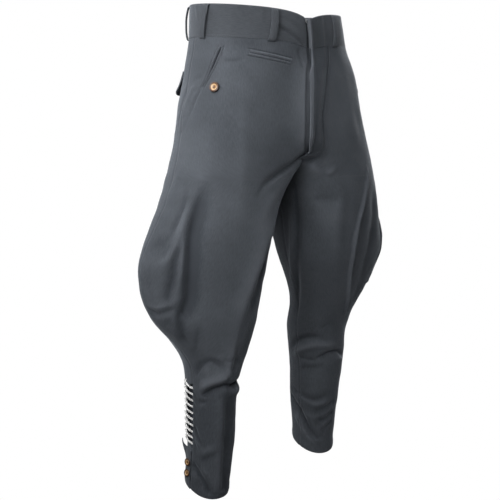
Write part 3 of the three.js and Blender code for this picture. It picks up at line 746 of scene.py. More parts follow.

# %% [markdown]
# ## Cloth, thread, horn and steel
# The wool is a fine twill: diagonal ribs a millimetre apart, over a grain that runs down the
# cloth. The weave is one group, used by every cloth with its own values. It gives out a height
# for the bump and a tone for the colour. Ridges are painted a little lighter than hollows,
# partly as wear and partly as painted light and painted shade. Sheen on the shader gives the
# soft glow that wool has at its edges.


# %% Weave group
def calculate(tree, operation, *values, clamp=False):
    return add_node(tree, "Math", dict(enumerate(values)), operation=operation,
                    use_clamp=clamp).outputs[0]


def noise(tree, place, scale, detail=2.0, distortion=0.0):
    return add_node(tree, "TexNoise", {"Vector": place, "Scale": scale, "Detail": detail,
                                       "Distortion": distortion}).outputs[0]


WEAVE_SOCKETS = (("Cloth", "INPUT", "Vector", None), ("Ribs", "INPUT", "Float", 260),
                 ("Slant", "INPUT", "Float", 1.0), ("Height", "OUTPUT", "Float", None),
                 ("Tone", "OUTPUT", "Float", None))
GRAIN, STREAKS, PATCHES = (1500.0, 190.0), (520.0, 85.0), 14.0
RIB_HEIGHT, GRAIN_TONE, STREAK_TONE, PATCH_TONE = 0.5, 0.35, 0.4, 0.25


def weave_group():
    """Twill ribs and grain from UVs in metres of cloth."""
    group = bpy.data.node_groups.new("twill_weave", "ShaderNodeTree")
    for name, way, kind, value in WEAVE_SOCKETS:
        socket = group.interface.new_socket(name, in_out=way, socket_type="NodeSocket" + kind)
        if value is not None:
            socket.default_value = value
    source, result = (group.nodes.new("NodeGroup" + way) for way in ("Input", "Output"))
    cloth, ribs, slant = (source.outputs[name] for name in ("Cloth", "Ribs", "Slant"))
    across, along = add_node(group, "SeparateXYZ", {0: cloth}).outputs[:2]

    def product(first, second):
        return calculate(group, "MULTIPLY", first, second)

    def total(first, second):
        return calculate(group, "ADD", first, second)

    def drawn_out(scales, detail):
        """Noise stretched along the cloth."""
        place = add_node(group, "CombineXYZ", {0: product(across, scales[0]),
                                               1: product(along, scales[1])})
        return noise(group, place.outputs[0], 1.0, detail)

    turn = product(total(across, product(along, slant)), ribs)
    wave = calculate(group, "SINE", product(turn, 2 * math.pi * 3))
    rib = calculate(group, "MULTIPLY_ADD", wave, 0.5)
    grain, streak = drawn_out(GRAIN, 2.0), drawn_out(STREAKS, 3.0)
    patches = product(noise(group, cloth, PATCHES, 3.0), PATCH_TONE)
    fine = total(product(grain, GRAIN_TONE), product(streak, STREAK_TONE))
    feed(result, {"Height": total(product(rib, RIB_HEIGHT), grain),
                  "Tone": total(fine, patches)})
    return group


WEAVE = weave_group()
print("weave nodes:", len(WEAVE.nodes))


# %% Cloth
def new_material(name):
    look = bpy.data.materials.new(name)
    look.use_nodes = True
    return look, look.node_tree, look.node_tree.nodes["Principled BSDF"]


def colour_ramp(tree, factor, *stops):
    node = add_node(tree, "ValToRGB", {"Fac": factor})
    while len(node.color_ramp.elements) < len(stops):
        node.color_ramp.elements.new(0.5)
    for element, (place, colour) in zip(node.color_ramp.elements, stops):
        element.position, element.color = place, (*colour, 1)
    return node.outputs["Color"]


def bump(tree, height, strength, distance):
    return add_node(tree, "Bump", {"Height": height, "Strength": strength,
                                   "Distance": distance}).outputs[0]


# How much each millimetre of height lightens the cloth: painted light on ridges and painted shade
# in hollows, with some wear.
WEAR_AND_SHADE_SHARE = 0.045
WOOL_FINISH = {"Roughness": 0.86, "Specular IOR Level": 0.22, "Sheen Roughness": 0.45,
               "Sheen Tint": (0.75, 0.82, 0.92, 1)}


def cloth_material(name, dark, light, slant=1.0, sheen=0.35):
    """Woven wool: grain and slow patches between two greys, painted lighter where it stands up and
    darker in hollows, partly as wear and partly as painted light and shade.
    """
    look, tree, shader = new_material(name)
    place = add_node(tree, "UVMap", uv_map="cloth").outputs[0]
    weave = add_node(tree, "Group", node_tree=WEAVE)
    feed(weave, {"Cloth": place, "Slant": slant})
    stands = add_node(tree, "Attribute", attribute_name="stands").outputs["Fac"]
    wear_and_shade = calculate(tree, "MULTIPLY", stands, WEAR_AND_SHADE_SHARE)
    factor = calculate(tree, "ADD", weave.outputs["Tone"], wear_and_shade, clamp=True)
    feed(shader, {"Base Color": colour_ramp(tree, factor, (0.22, dark), (0.8, light)),
                  "Normal": bump(tree, weave.outputs["Height"], 0.5, 0.0003),
                  "Sheen Weight": sheen, **WOOL_FINISH})
    return look


WOOL = cloth_material("grey_wool_twill", (0.036, 0.041, 0.049), (0.099, 0.109, 0.125))
# The band is the same wool with greys about a quarter darker: painted shade for how its cross
# grain takes the light.
BAND_WOOL = cloth_material("waistband_wool", (0.027, 0.031, 0.036), (0.077, 0.084, 0.096),
                           slant=-1.0)
# Much darker than the wool, so that the pocket mouths and lacing gaps over it read dark: its own
# colour and painted shade.
POCKET_CLOTH = cloth_material("pocket_cloth", (0.016, 0.018, 0.024), (0.034, 0.037, 0.046),
                              sheen=0.1)
print("cloths:", WOOL.name, BAND_WOOL.name, POCKET_CLOTH.name)


# %% Thread, lace, horn and steel
def speckled(name, scale, dark, light, strength, values):
    """A material with fine specks between two colours, which also roughen its surface."""
    look, tree, shader = new_material(name)
    specks = noise(tree, add_node(tree, "NewGeometry").outputs["Position"], scale)
    feed(shader, {"Base Color": colour_ramp(tree, specks, (0.3, dark), (0.7, light)),
                  "Normal": bump(tree, specks, strength, 0.0002), **values})
    return look


BRAID_TURNS = 850, 420
# From the centre out: a dark centre, the pale tan face, then a dark rim that is painted shade
# where the rim turns away.
HORN_RINGS = ((0.0, (0.13, 0.05, 0.012)), (0.25, (0.17, 0.07, 0.02)),
              (0.36, (0.56, 0.36, 0.18)), (0.58, (0.6, 0.39, 0.2)), (0.66, (0.1, 0.04, 0.015)),
              (1.0, (0.04, 0.016, 0.006)))


def lace_material():
    """A braided cotton lace: crossing bands round and along it, with painted shade where the braid
    sinks between strands.
    """
    look, tree, shader = new_material("white_lace")
    place = add_node(tree, "UVMap", uv_map="cloth").outputs[0]
    ways = add_node(tree, "SeparateXYZ", {0: place}).outputs
    across, along = (calculate(tree, "MULTIPLY", way, 2 * math.pi * turns)
                     for way, turns in zip(ways, BRAID_TURNS))
    one, other = (calculate(tree, "SINE", calculate(tree, word, across, along))
                  for word in ("ADD", "SUBTRACT"))
    braid = calculate(tree, "MULTIPLY_ADD", calculate(tree, "MAXIMUM", one, other), 0.5)
    # Darker where the braid sinks between its strands: painted shade.
    colour = colour_ramp(tree, braid, (0.0, (0.62, 0.62, 0.62)), (0.6, (0.86, 0.86, 0.85)))
    feed(shader, {"Base Color": colour, "Normal": bump(tree, braid, 0.5, 0.0004),
                  "Roughness": 0.75, "Sheen Weight": 0.15})
    return look


def horn_material():
    """Cut horn: a pale tan face with brown streaks, a dark centre, and a dark rim that is painted
    shade.
    """
    look, tree, shader = new_material("horn")
    place = add_node(tree, "NewGeometry").outputs["Position"]
    streaks = noise(tree, place, 160.0, 3.0, 0.8)
    ring = add_node(tree, "Attribute", attribute_name="ring").outputs["Fac"]
    shift = calculate(tree, "MULTIPLY", calculate(tree, "SUBTRACT", streaks, 0.5), 0.14)
    colour = colour_ramp(tree, calculate(tree, "ADD", ring, shift, clamp=True), *HORN_RINGS)
    feed(shader, {"Base Color": colour, "Normal": bump(tree, streaks, 0.15, 0.0003),
                  "Roughness": 0.28, "Coat Weight": 0.4, "Coat Roughness": 0.15})
    return look


THREAD = {"Roughness": 0.6, "Sheen Weight": 0.2}
GREY_THREAD = speckled("grey_thread", 900.0, (0.060, 0.066, 0.076), (0.105, 0.113, 0.126), 0.3,
                       THREAD)
TAN_THREAD = speckled("button_thread", 900.0, (0.12, 0.055, 0.018), (0.22, 0.11, 0.04), 0.3,
                      THREAD)
STEEL = speckled("nickelled_wire", 700.0, (0.2, 0.21, 0.22), (0.45, 0.46, 0.48), 0.2,
                 {"Roughness": 0.32, "Metallic": 1.0})
LACE, HORN = lace_material(), horn_material()
print("materials:", len(bpy.data.materials))

# %% [markdown]
# ## Panels
# Each leg is a front and a back, sewn at the inside and the outside. A grid with even columns
# would cut the slanted pocket into steps, so the front's columns bend to follow the pocket,
# and the quads between two of them are left out for its mouth. The fly's lap is the left
# front carried a little way over the right one.


# %% Rings of even columns
RING_POINTS, ROW_GAP = 321, 0.15


def ring_grid(side, z, start, end, shares, trim_start=0, trim_end=0):
    """Angles and arc lengths along rings, at shares (0 to 1) of each trimmed ring."""
    start, end, trim_start, trim_end = (np.broadcast_to(np.asarray(v, float), z.shape)
                                        for v in (start, end, trim_start, trim_end))
    angles = start[:, None] + (end - start)[:, None] * np.linspace(0, 1, RING_POINTS)
    step = np.linalg.norm(np.diff(place_on(side, angles, z[:, None]), axis=1), axis=2)
    lengths = np.concatenate([np.zeros((len(z), 1)), np.cumsum(step, axis=1)], axis=1)
    target = trim_start[:, None] + (lengths[:, -1] - trim_start - trim_end)[:, None] * shares
    found = np.array([np.interp(t, l, a) for t, l, a in zip(target, lengths, angles)])
    return found, target


def panel_grid(side, z, start, end, shares, trim_start):
    """A panel's angles, arc lengths and heights, with its points and their normals."""
    angle, arc = ring_grid(side, z, start, end, shares, trim_start, SEAM / 2)
    rows = np.repeat(z[:, None], arc.shape[1], axis=1)
    return (angle, arc, rows, *spot_on(side, angle, rows))


def arc_length(side, z, start, end):
    """Millimetres round each ring from one angle to another."""
    return ring_grid(side, z, start, end, np.ones(1))[1][:, 0]


def heights_between(top, foot, step, extra):
    """Heights from the top down to the foot, with extra ones where detail needs them."""
    every = np.concatenate([np.linspace(top, foot, int(round((top - foot) / step)) + 1), extra])
    keep = [top]
    for z in np.sort(every)[::-1]:
        if keep[-1] - z > ROW_GAP:
            keep.append(z)
    keep[-1] = foot
    return np.array(keep)


def spread(count, fine_start, fine_end, fine=0.42):
    """Shares from 0 to 1 that are closer together for some columns at each end."""
    steps = np.ones(count - 1)
    steps[:fine_start] = steps[len(steps) - fine_end:] = fine
    return np.concatenate([[0], np.cumsum(steps)]) / steps.sum()


# %% How edges, seams and stitches shape cloth
def edge_roll(distance, reach, rise, drop):
    """A turned edge: it stands up a little, and rounds off at the very edge."""
    return rise * bell(distance, 2.2 * reach) - (rise + drop) * bell(distance, 0.45 * reach)


def groove(distance, depth, width=0.9):
    """The dent that a row of stitches pulls into cloth."""
    return -depth * bell(distance, width)


def hem_relief(z):
    """The turned hem, a little thicker than the cloth above it."""
    return HEM_THICK * ease(16, 12, z - HEM) + edge_roll(z - HEM, 2.0, 0.3, 0.6)


def seam_relief(distance):
    """A seam pressed open: a fine dent between two soft ridges."""
    return 0.25 * bell(distance - 4.5, 3.0) - 0.6 * bell(distance, 1.5)


def waist_seam(z):
    return groove(PANEL_TOP - z, 0.2, 1.6)


def painted_shade_top_and_calf(side, z):
    """How much darker the cloth is painted just under the band, and low on the right leg: painted
    shade.
    """
    boot = RIGHT_CALF_SHADE * ease(-650, -690, z) if side == RIGHT else 0
    return UNDER_BAND_SHADE * ease(-130, -40, z) + boot


# Painted shade: how much darker the cloth is made just under the band, and below the right knee.
UNDER_BAND_SHADE, RIGHT_CALF_SHADE, HEM_THICK = 3.4, 3.5, 0.7
PANEL_TOP = -33.4
CROTCH_ROWS = [CROTCH + v for v in (6, 3.5, 2, 1.2, 0.6, 0.25, 0, -0.4, -1.2, -2.5, -5)]

# %% The fly's lap
# Of these, the pressed value and the band's one scale the painted shade over the fly and the
# painted highlight along the lap's edge.
FLY = {"lap": 5, "swing": 7.5, "lap_ends": -250, "lap_full": -238,
       "proud": 2.2, "flat": 30, "width": 44, "proud_ends": -264, "fall": 4.0, "falls_over": 42,
       "step": 1.3, "trough": 4.6, "stitch": 33.0, "pressed": 20, "band_fly_shade": 9}
FLY_STITCH = [(104.2, -37), (103.4, -47), (101, -64), (98, -86), (95, -108), (92.6, -129),
              (91, -148), (89.8, -167), (88.4, -186), (87, -204), (85, -222), (81.5, -237),
              (76.5, -243.5), (67, -245), (58, -245)]
LAP_COLUMNS = 4


def lap_swing(z):
    """How much further the lap's edge lies over the right front below the band."""
    return FLY["swing"] * ease(-58, -105, z) * ease(-252, -225, z)


def from_lap_edge(z, arc):
    return arc + FLY["lap"] + lap_swing(z)


def fly_lift(z, arc):
    """How far the left front stands over the right one. It is highest at the lap's edge and
    falls away to the fly's stitching."""
    across = 1 - ease(FLY["flat"], FLY["width"], arc)
    fall = FLY["fall"] * np.clip(1 - from_lap_edge(z, arc) / FLY["falls_over"], 0, 1)
    return (FLY["proud"] * across * ease(FLY["proud_ends"], FLY["lap_ends"], z)
            + fall * ease(FLY["lap_ends"] - 10, FLY["lap_full"], z))


def fly_painted_shade(z, arc):
    """Painted shade over the fly, darker than its height would make it, and a painted highlight
    along the lap's edge.
    """
    from_edge = from_lap_edge(z, arc)
    flat = ease(64, 8, from_edge) * ease(FLY["lap_ends"] - 26, FLY["lap_full"], z)
    edge = ease(4.2, 2.6, from_edge) * ease(-50, -110, z) * ease(FLY["lap_ends"], -235, z)
    return flat * ease(2.4, 5, from_edge) - 0.8 * edge


def fly_sink(z, arc):
    """How far the right front lies back beside the fly's lap, deepest right under its edge."""
    reach = ease(FLY["proud_ends"] + 4, FLY["lap_ends"] + 14, z)
    arc = arc - lap_swing(z)
    return reach * (FLY["step"] * ease(34, 8, arc) + FLY["trough"] * ease(11, 6.5, arc))


def add_lap(z, own_relief, point, normal, lift, arc, rows):
    """Carry a left piece's grid on past the middle, over the right one."""
    reach = (FLY["lap"] * ease(FLY["lap_ends"], FLY["lap_full"], z) + lap_swing(z))[:, None]
    around = reach * np.linspace(1, 1 / LAP_COLUMNS, LAP_COLUMNS)
    lap_rows = np.repeat(z[:, None], LAP_COLUMNS, axis=1)
    angle, _ = beside(RIGHT, middle_angle(lap_rows), lap_rows, around)
    lap_lift = (own_relief(RIGHT, angle, lap_rows) + fly_lift(lap_rows, -around)
                + 0.7 * FLY["step"] * ease(FLY["lap_ends"], FLY["lap_full"], lap_rows)
                + edge_roll(reach - around, 1.2, 0.5, 0.5))
    lap = (*spot_on(RIGHT, angle, lap_rows), lap_lift, -around, lap_rows)
    return [np.concatenate(both, axis=1) for both in zip(lap, (point, normal, lift, arc, rows))]


def stitch_distance(side, route, points):
    """Distance of each point from a line of places, in millimetres."""
    flat = points.reshape(-1, 3)
    best = np.full(len(flat), 1e9)
    line = place_on(side, *smooth_route(side, route, 2.0).T)
    near, _, _, squared = near_line(flat, line, 8)
    best[near] = np.sqrt(squared)
    return best.reshape(points.shape[:-1])


print("the lap reaches", round(FLY["lap"] + float(lap_swing(-150)), 1), "mm past the middle")

# %% Where the slant pocket runs
POCKET = {"top": (159.2, -51.5), "foot": (172.1, -126), "bow": 1.2, "wide": 3.4, "narrow": 0.7,
          "stitch": 4.6}


def straight(start, end, bow=0.0):
    """A route between two places, bowed to one side, as a function of the share gone."""
    return lambda t: (start[0] + (end[0] - start[0]) * t
                      - bow * np.sin(math.pi * np.clip(t, 0, 1)),
                      start[1] + (end[1] - start[1]) * t)


pocket_route = straight(POCKET["top"], POCKET["foot"], POCKET["bow"])


def pocket_share(z):
    """0 at the pocket's top and 1 at its foot."""
    return (z - POCKET["top"][1]) / (POCKET["foot"][1] - POCKET["top"][1])


def pocket_angle(z):
    """The angle of the pocket's mouth at a height, carried on past its ends."""
    return pocket_route(pocket_share(z))[0]


def mouth_width(z):
    """The pocket gapes near its top and is nearly shut at its foot."""
    t = pocket_share(z)
    return (POCKET["wide"] * ease(-0.02, 0.12, t) * ease(0.72, 0.42, t)
            + POCKET["narrow"] * ease(-0.01, 0.03, t) * ease(1.01, 0.97, t))


print("pocket mouth:", round(float(mouth_width(-70)), 1), "mm wide near its top")

# %% Front panels
FRONT_COLUMNS, POCKET_COLUMN = 132, 100
MEET_WIDE, LAP_PARTS = 6, (-244, -254)


def front_shares(side, z):
    """Shares for each ring, bent so that two columns run along the pocket's mouth."""
    whole = arc_length(side, z, middle_angle(z), section["seam"](z)) - SEAM / 2
    true = arc_length(side, z, middle_angle(z), pocket_angle(z)) / whole
    plain = (POCKET_COLUMN + 0.5) / (FRONT_COLUMNS - 1)
    t = pocket_share(z)
    middle = plain + (true - plain) * ease(-0.8, -0.05, t) * ease(2.2, 1.05, t)
    far = 1 - ease(-0.25, -0.01, t) * ease(1.25, 1.01, t)
    usual = 0.5 * whole / (FRONT_COLUMNS - 1) * ease(0, 1, far) + 0.1
    half = np.where((t > -0.01) & (t < 1.01), np.maximum(mouth_width(z), 0.2) / 2, usual) / whole
    before = (middle - half)[:, None] * spread(POCKET_COLUMN + 1, 14, 9)
    after = (middle + half)[:, None]
    after = after + (1 - after) * spread(FRONT_COLUMNS - POCKET_COLUMN - 1, 9, 5)
    return np.concatenate([before, after], axis=1)


def panel_rows():
    """Rows of the fronts, closer together at the crotch, the pockets and the knee."""
    slit = [pocket_route(t)[1] for t in (-0.03, -0.01, 0.0, 0.03, 0.06, 0.97, 1.0, 1.01, 1.03)]
    return heights_between(PANEL_TOP, HEM, 3.8, [
        *CROTCH_ROWS, *slit, *np.arange(-50, -80, -1.3), *np.arange(-600, -700, -2.5)])


def sewn_sheet(name, point, normal, lifts, column, from_middle, z, *looks, share=1.0):
    """A piece whose column at the middle is drawn to the middle plane, so that the halves
    touch. The lifts are those of its face and its underside."""
    near = share * bell(from_middle, MEET_WIDE) * (z > CROTCH - 0.1)
    sheets = [point + normal * lift[..., None] for lift in lifts]
    for sheet in sheets:
        sheet[..., 0] -= near * sheet[:, column, 0].copy()[:, None]
    return cloth_piece(name, *sheets, *looks)


def front_panel(side):
    z = panel_rows()
    middle, seam = middle_angle(z), section["seam"](z)
    trim = np.where(middle > 0, SEAM / 2 if side == RIGHT else 0, SEAM / 2)
    angle, arc, rows, point, normal = panel_grid(side, z, middle, seam, front_shares(side, z),
                                                 trim)
    t = pocket_share(rows)
    to_mouth = arc_length(side, z, middle, pocket_angle(z))[:, None]
    off_mouth = np.abs(arc - to_mouth) - mouth_width(rows) / 2
    lift = (relief(side, angle, rows) + hem_relief(rows)
            + seam_relief(arc[:, -1:] + SEAM / 2 - arc)
            + seam_relief(arc) * ease(CROTCH + 4, CROTCH - 8, rows)
            + ease(-0.06, 0.02, t) * ease(1.06, 0.98, t) * (
                edge_roll(np.maximum(off_mouth, 0), 2.4, 1.1, 0.7)
                + groove(off_mouth - POCKET["stitch"], 1.9, 1.3)) + waist_seam(rows))
    in_mouth = (pocket_share(z) > -0.001) & (pocket_share(z) < 1.001)
    kept = np.ones((len(z) - 1, angle.shape[1] - 1), bool)
    kept[:, POCKET_COLUMN] = ~(in_mouth[:-1] & in_mouth[1:])
    # Higher places are painted lighter and hollows darker: partly wear, partly painted light and
    # painted shade.
    wear_and_shade, column = lift, 0
    if side == RIGHT:
        lift = lift - fly_sink(rows, arc)
    else:
        to_stitch = stitch_distance(side, FLY_STITCH, point)
        lift = (lift + fly_lift(rows, arc) + groove(to_stitch, 2.2, 2.6)
                + 0.5 * bell(to_stitch - 3.5, 2.2))
        point, normal, lift, arc, rows = add_lap(z, relief, point, normal, lift, arc, rows)
        in_lap = np.repeat((z[1:] > FLY["lap_ends"] + 1)[:, None], LAP_COLUMNS, axis=1)
        kept = np.concatenate([in_lap, kept], axis=1)
        # The fly is painted darker, with a painted highlight along the lap's edge.
        wear_and_shade, column = lift - FLY["pressed"] * fly_painted_shade(rows, arc), LAP_COLUMNS
    # The front is painted darker just under the band, and the right one also low on the calf:
    # painted shade.
    return sewn_sheet("front_panel_" + WORDS[side], point, normal, (lift, lift - CLOTH), column,
                      arc, rows, pairs(arc, rows), wear_and_shade - painted_shade_top_and_calf(side, rows), kept,
                      share=ease(*LAP_PARTS, rows))


def make_both(make, looks, node):
    """The right and the left piece of one kind, each with its area."""
    made = {}
    for leg, word in WORDS.items():
        piece, area = made[leg] = make(leg)
        finish_piece(piece, looks, "wool_twill", node + word)
        print(piece.name, len(piece.data.polygons), "faces", round(area, 3), "m2")
    return made


front = make_both(front_panel, WOOL, "front_")

# %% Back panels
BACK_COLUMNS = 112
LACING = {"rows": 10, "pitch": 11.6, "top": -655, "eyelet": 26.8, "hole": 2.2, "cord": 1.85,
          "gap": 22, "opens": -657, "open": -668, "closing": -770, "closed": -780,
          "stitches": ((8.5, 0.4), (1.8, 0.3)), "pulls": 0.35, "rim": (1.0, 0.55)}


def lace_gap(z):
    """How far the back panel's edge is from the outside seam."""
    return SEAM / 2 + LACING["gap"] * ease(LACING["opens"], LACING["open"], z) * ease(
        LACING["closed"], LACING["closing"], z)


def eyelet_spots(side):
    """Angles and heights of the eyelets' centres."""
    z = LACING["top"] - LACING["pitch"] * np.arange(LACING["rows"])
    return beside(side, section["seam"](z), z, LACING["eyelet"])


def back_panel(side):
    calf = np.arange(LACING["closed"] - 4, LACING["opens"] + 8, 1.6)
    z = heights_between(PANEL_TOP, HEM, 4.0, [*CROTCH_ROWS, *calf])
    angle, arc, rows, point, normal = panel_grid(
        side, z, section["seam"](z), 360 - middle_angle(z), np.linspace(0, 1, BACK_COLUMNS),
        lace_gap(z))
    from_edge = arc - lace_gap(rows)
    from_middle = arc[:, -1:] + SEAM / 2 - arc
    lift = (relief(side, angle, rows) + hem_relief(rows) + seam_relief(from_edge)
            + seam_relief(from_middle) + waist_seam(rows)
            + ease(SEAM, LACING["gap"], lace_gap(rows)) * sum(
                groove(from_edge - away, depth) for away, depth in LACING["stitches"]))
    kept = np.ones((len(z) - 1, BACK_COLUMNS - 1), bool)
    centre = (point[:-1, :-1] + point[1:, 1:] + point[:-1, 1:] + point[1:, :-1]) / 4
    hole, (inside, outside) = LACING["hole"], LACING["rim"]
    for eye_at in spot_on(side, *eyelet_spots(side))[0]:
        kept &= np.linalg.norm(centre - eye_at, axis=2) > hole - 0.35
        away = point - eye_at
        distance = np.linalg.norm(away, axis=2)
        rim = (distance < hole + outside) & (distance > hole - inside)
        pulled = eye_at + away * (hole / np.maximum(distance, 1e-6))[..., None]
        point = np.where(rim[..., None], pulled, point)
        lift = lift - LACING["pulls"] * bell(distance - 3.0, 2.0)
    # The back is painted darker just under the band: painted shade.
    return sewn_sheet("back_panel_" + WORDS[side], point, normal, (lift, lift - CLOTH), -1,
                      from_middle, rows, pairs(arc, rows), lift - painted_shade_top_and_calf(LEFT, rows), kept)


back = make_both(back_panel, WOOL, "back_")

# %% [markdown]
# ## Waistband
# The band is two layers of cloth with a stiffener between, so it is thicker than the panels,
# stands a little proud of them, and its top edge is a rounded fold.

# %% Waistband halves
BAND_COLUMNS, BAND_PROUD, BAND_STITCHES = 230, 0.25, (24.2, -29.6)


def band_relief(side, angle, z):
    """The band is stiff, so it follows the folds by little more than half."""
    rise = (0.6 * relief(side, angle, z) + BAND_PROUD + edge_roll(RIM - z, 2.6, 0.2, 1.1)
            + edge_roll(z - BAND_FOOT, 1.5, 0.1, 0.1))
    return rise + sum(groove(z - stitch, 0.35) for stitch in BAND_STITCHES)


def waistband(side):
    z = np.array([RIM, RIM - 0.5, RIM - 1.2, *np.linspace(RIM - 2.5, BAND_FOOT + 2, 24),
                  BAND_FOOT + 1, BAND_FOOT])
    middle = middle_angle(z)
    angle, arc, rows, point, normal = panel_grid(
        side, z, middle, 360 - middle, spread(BAND_COLUMNS, 14, 0),
        SEAM / 2 if side == RIGHT else 0)
    lift = band_relief(side, angle, rows) + seam_relief(arc[:, -1:] + SEAM / 2 - arc)
    if side == RIGHT:
        wear_and_shade = lift = lift - fly_sink(rows, arc)
    else:
        lift = lift + fly_lift(rows, arc)
        point, normal, lift, arc, rows = add_lap(z, band_relief, point, normal, lift, arc, rows)
        # The band over the fly is painted darker, with a painted highlight along the lap's edge.
        wear_and_shade = lift - FLY["band_fly_shade"] * fly_painted_shade(rows, arc)
    under = np.minimum(lift, 1.5) - CLOTH - BAND_PROUD
    return sewn_sheet("waistband_half_" + WORDS[side], point, normal, (lift, under), -1,
                      arc[:, -1:] - arc, rows, pairs(rows, arc), wear_and_shade)


band = make_both(waistband, BAND_WOOL, "waistband_")

# %% [markdown]
# ## Strips: belt loops, jets, facings, flap and button stands
# All of these are narrow sheets that lie along a route on the surface. One helper lays a grid
# along a route and another lifts it by a profile across and along, so each piece is only its
# sizes and its profile.


# %% Strip helpers
def strip_grid(side, route, t, widths):
    """Angles and heights of a grid along a route: t is the share gone, widths millimetres."""
    angle, z = route(t)
    point, normal = spot_on(side, angle, z)
    nearby = np.where(t < 0.5, 0.01, -0.01)
    ahead = (place_on(side, *route(t + nearby)) - point) * np.sign(nearby)[:, None]
    across = unit(np.cross(ahead, normal)) * side
    ways = (place_on(side, angle + 1, z) - point, place_on(side, angle, z + 1) - point)
    around, up = (np.sum(across * unit(way), axis=1)[:, None] * widths for way in ways)
    return beside(side, angle[:, None], z[:, None], around, up)


def laid_piece(name, side, angle, z, above, thickness, uv, wear_and_shade=0.0):
    """A sheet whose underside lies above the cloth by so many millimetres."""
    under = relief(side, angle, z) + above
    return cloth_piece(name, raised(side, angle, z, under + thickness),
                       raised(side, angle, z, under), uv, np.broadcast_to(wear_and_shade, under.shape))


def even_shares(across, down):
    """Even shares down a piece, as a column, and across it, as a row."""
    return np.linspace(0, 1, down)[:, None], np.linspace(0, 1, across)[None, :]


# %% Belt loops
BELT_LOOP = {"half": 6.5, "top": 27, "foot": -37, "stands": 6.0, "wall": 1.5}
BELT_LOOPS = {"front": {RIGHT: (117, 120), LEFT: (114, 110)},
              "side": {RIGHT: (174.5, 178), LEFT: (177, 178)},
              "back": {RIGHT: (221, 221), LEFT: (221, 221)}}


def belt_loop(place, side):
    top, foot = BELT_LOOPS[place][side]
    half, long = BELT_LOOP["half"], BELT_LOOP["foot"] - BELT_LOOP["top"]
    t, across = even_shares(15, 45)
    across = half * (2 * across - 1)
    height = BELT_LOOP["top"] + long * t
    angle, z = beside(side, top + (foot - top) * t, height, across)
    ends = np.minimum(t, 1 - t) * -long
    crown = 0.7 * (1 - (np.abs(across) / half) ** 4)
    lift = (BELT_LOOP["stands"] * np.sin(math.pi * t) ** 0.4 + crown
            + groove(half - np.abs(across) - 2.2, 0.4, 0.8) - 0.6 * bell(ends, 1.2))
    return laid_piece(f"loop_{place}_{WORDS[side]}", side, angle, z, BAND_PROUD + 0.4 + lift,
                      BELT_LOOP["wall"], pairs(across, height))


for loop_place in BELT_LOOPS:
    for leg, word in WORDS.items():
        finish_sheet(belt_loop(loop_place, leg), BAND_WOOL, "wool_twill",
                     f"belt_loop_{loop_place}_{word}", "waistband_half_" + word, (0.013, 0.074))
print("belt loops:", 2 * len(BELT_LOOPS))

# %% Pocket facings
FACING = {"t": np.linspace(-0.09, 1.09, 34), "widths": np.linspace(-13, 13, 13), "under": 1.6}
for leg, word in WORDS.items():
    facing = laid_piece("pocket_facing_strip_" + word, leg,
                        *strip_grid(leg, pocket_route, FACING["t"], FACING["widths"]),
                        -CLOTH - FACING["under"] - THIN, THIN,
                        pairs(FACING["widths"], -80 * FACING["t"][:, None]))
    finish_sheet(facing, POCKET_CLOTH, "pocket_cloth", "pocket_facing_" + word,
                 "front_panel_" + word, (0.026, 0.092))
print("pocket facings:", len(WORDS))

# %% Watch pocket: two puffed jets, and between them a dark strip laid on the cloth: painted shade for the slit
WATCH = {"from": (134.2, -60.5), "to": (101, -72.5), "jet": 5.2, "slit": 1.7, "long": 62}


def watch_strip(name, t, widths, above, thickness, wear_and_shade=0.0):
    angle, z = strip_grid(RIGHT, straight(WATCH["from"], WATCH["to"]), t, widths)
    return laid_piece(name, RIGHT, angle, z, above, thickness,
                      pairs(WATCH["long"] * t[:, None], widths), wear_and_shade)


jet_across = np.linspace(0, 1, 11)
puff = 0.6 * np.sin(math.pi * np.clip(jet_across, 0, 1)) ** 0.5
# The jets' puffed middles are painted lighter: painted light, with some wear.
for word, way in (("upper", -1), ("lower", 1)):
    jet = watch_strip("jet_" + word, np.linspace(0, 1, 40),
                      way * (WATCH["slit"] / 2 + WATCH["jet"] * jet_across), 0.15, 0.5 + puff,
                      puff)
    finish_sheet(jet, WOOL, "wool_twill", "watch_jet_" + word, "front_panel_right",
                 (0.066, 0.0125), area=0.00045)
# No slit is cut here: this dark strip of pocket cloth lies on the front panel between the jets, as
# painted shade.
mouth, _ = watch_strip("watch_pocket_painted_shade", np.linspace(0.015, 0.985, 30),
                       np.array([-1, 0, 1]) * (WATCH["slit"] / 2 + 0.1), 0.1, 0.2)
finish_piece(mouth, POCKET_CLOTH, "pocket_cloth")
print("mouth faces:", len(mouth.data.polygons))

# %% Hip flap
FLAP = {"from": 204, "to": 247, "top": -96, "long": 84, "height": 38, "point": 7, "stands": 7}


def hip_flap():
    down, along = even_shares(60, 26)
    height = FLAP["height"] + FLAP["point"] * np.sin(math.pi * along)
    angle = FLAP["from"] + (FLAP["to"] - FLAP["from"]) * along
    edge = np.minimum(np.minimum(along, 1 - along) * FLAP["long"], (1 - down) * height)
    lift = (0.5 + FLAP["stands"] * down ** 1.5 * (1 - 0.55 * along) + groove(edge - 5.0, 0.4)
            + edge_roll(edge, 1.6, 0.2, 0.5))
    return laid_piece("hip_pocket_flap", RIGHT, angle, FLAP["top"] - height * down, lift, CLOTH,
                      pairs(FLAP["long"] * along, -height * down))


finish_sheet(hip_flap(), WOOL, "wool_twill", "hip_flap", "back_panel_right", (0.096, 0.045),
             "hung")
print("hip flap:", FLAP["long"], "mm long")

# %% Calf underlays and button stands
UNDERLAY = {"front": -6.5, "back": 23.8, "under": 3.1, "sinks": 3, "flat": 19,
            "rings": (-628, -638, -651, -776, -790, -800)}
PLACKET = {"front": 1, "back": 36, "wide": 35, "tall": 80, "top": -785, "peak": 16,
           "corner": 8, "above": 1, "buttons": ((-812, 8.4), (-834, 8.4))}


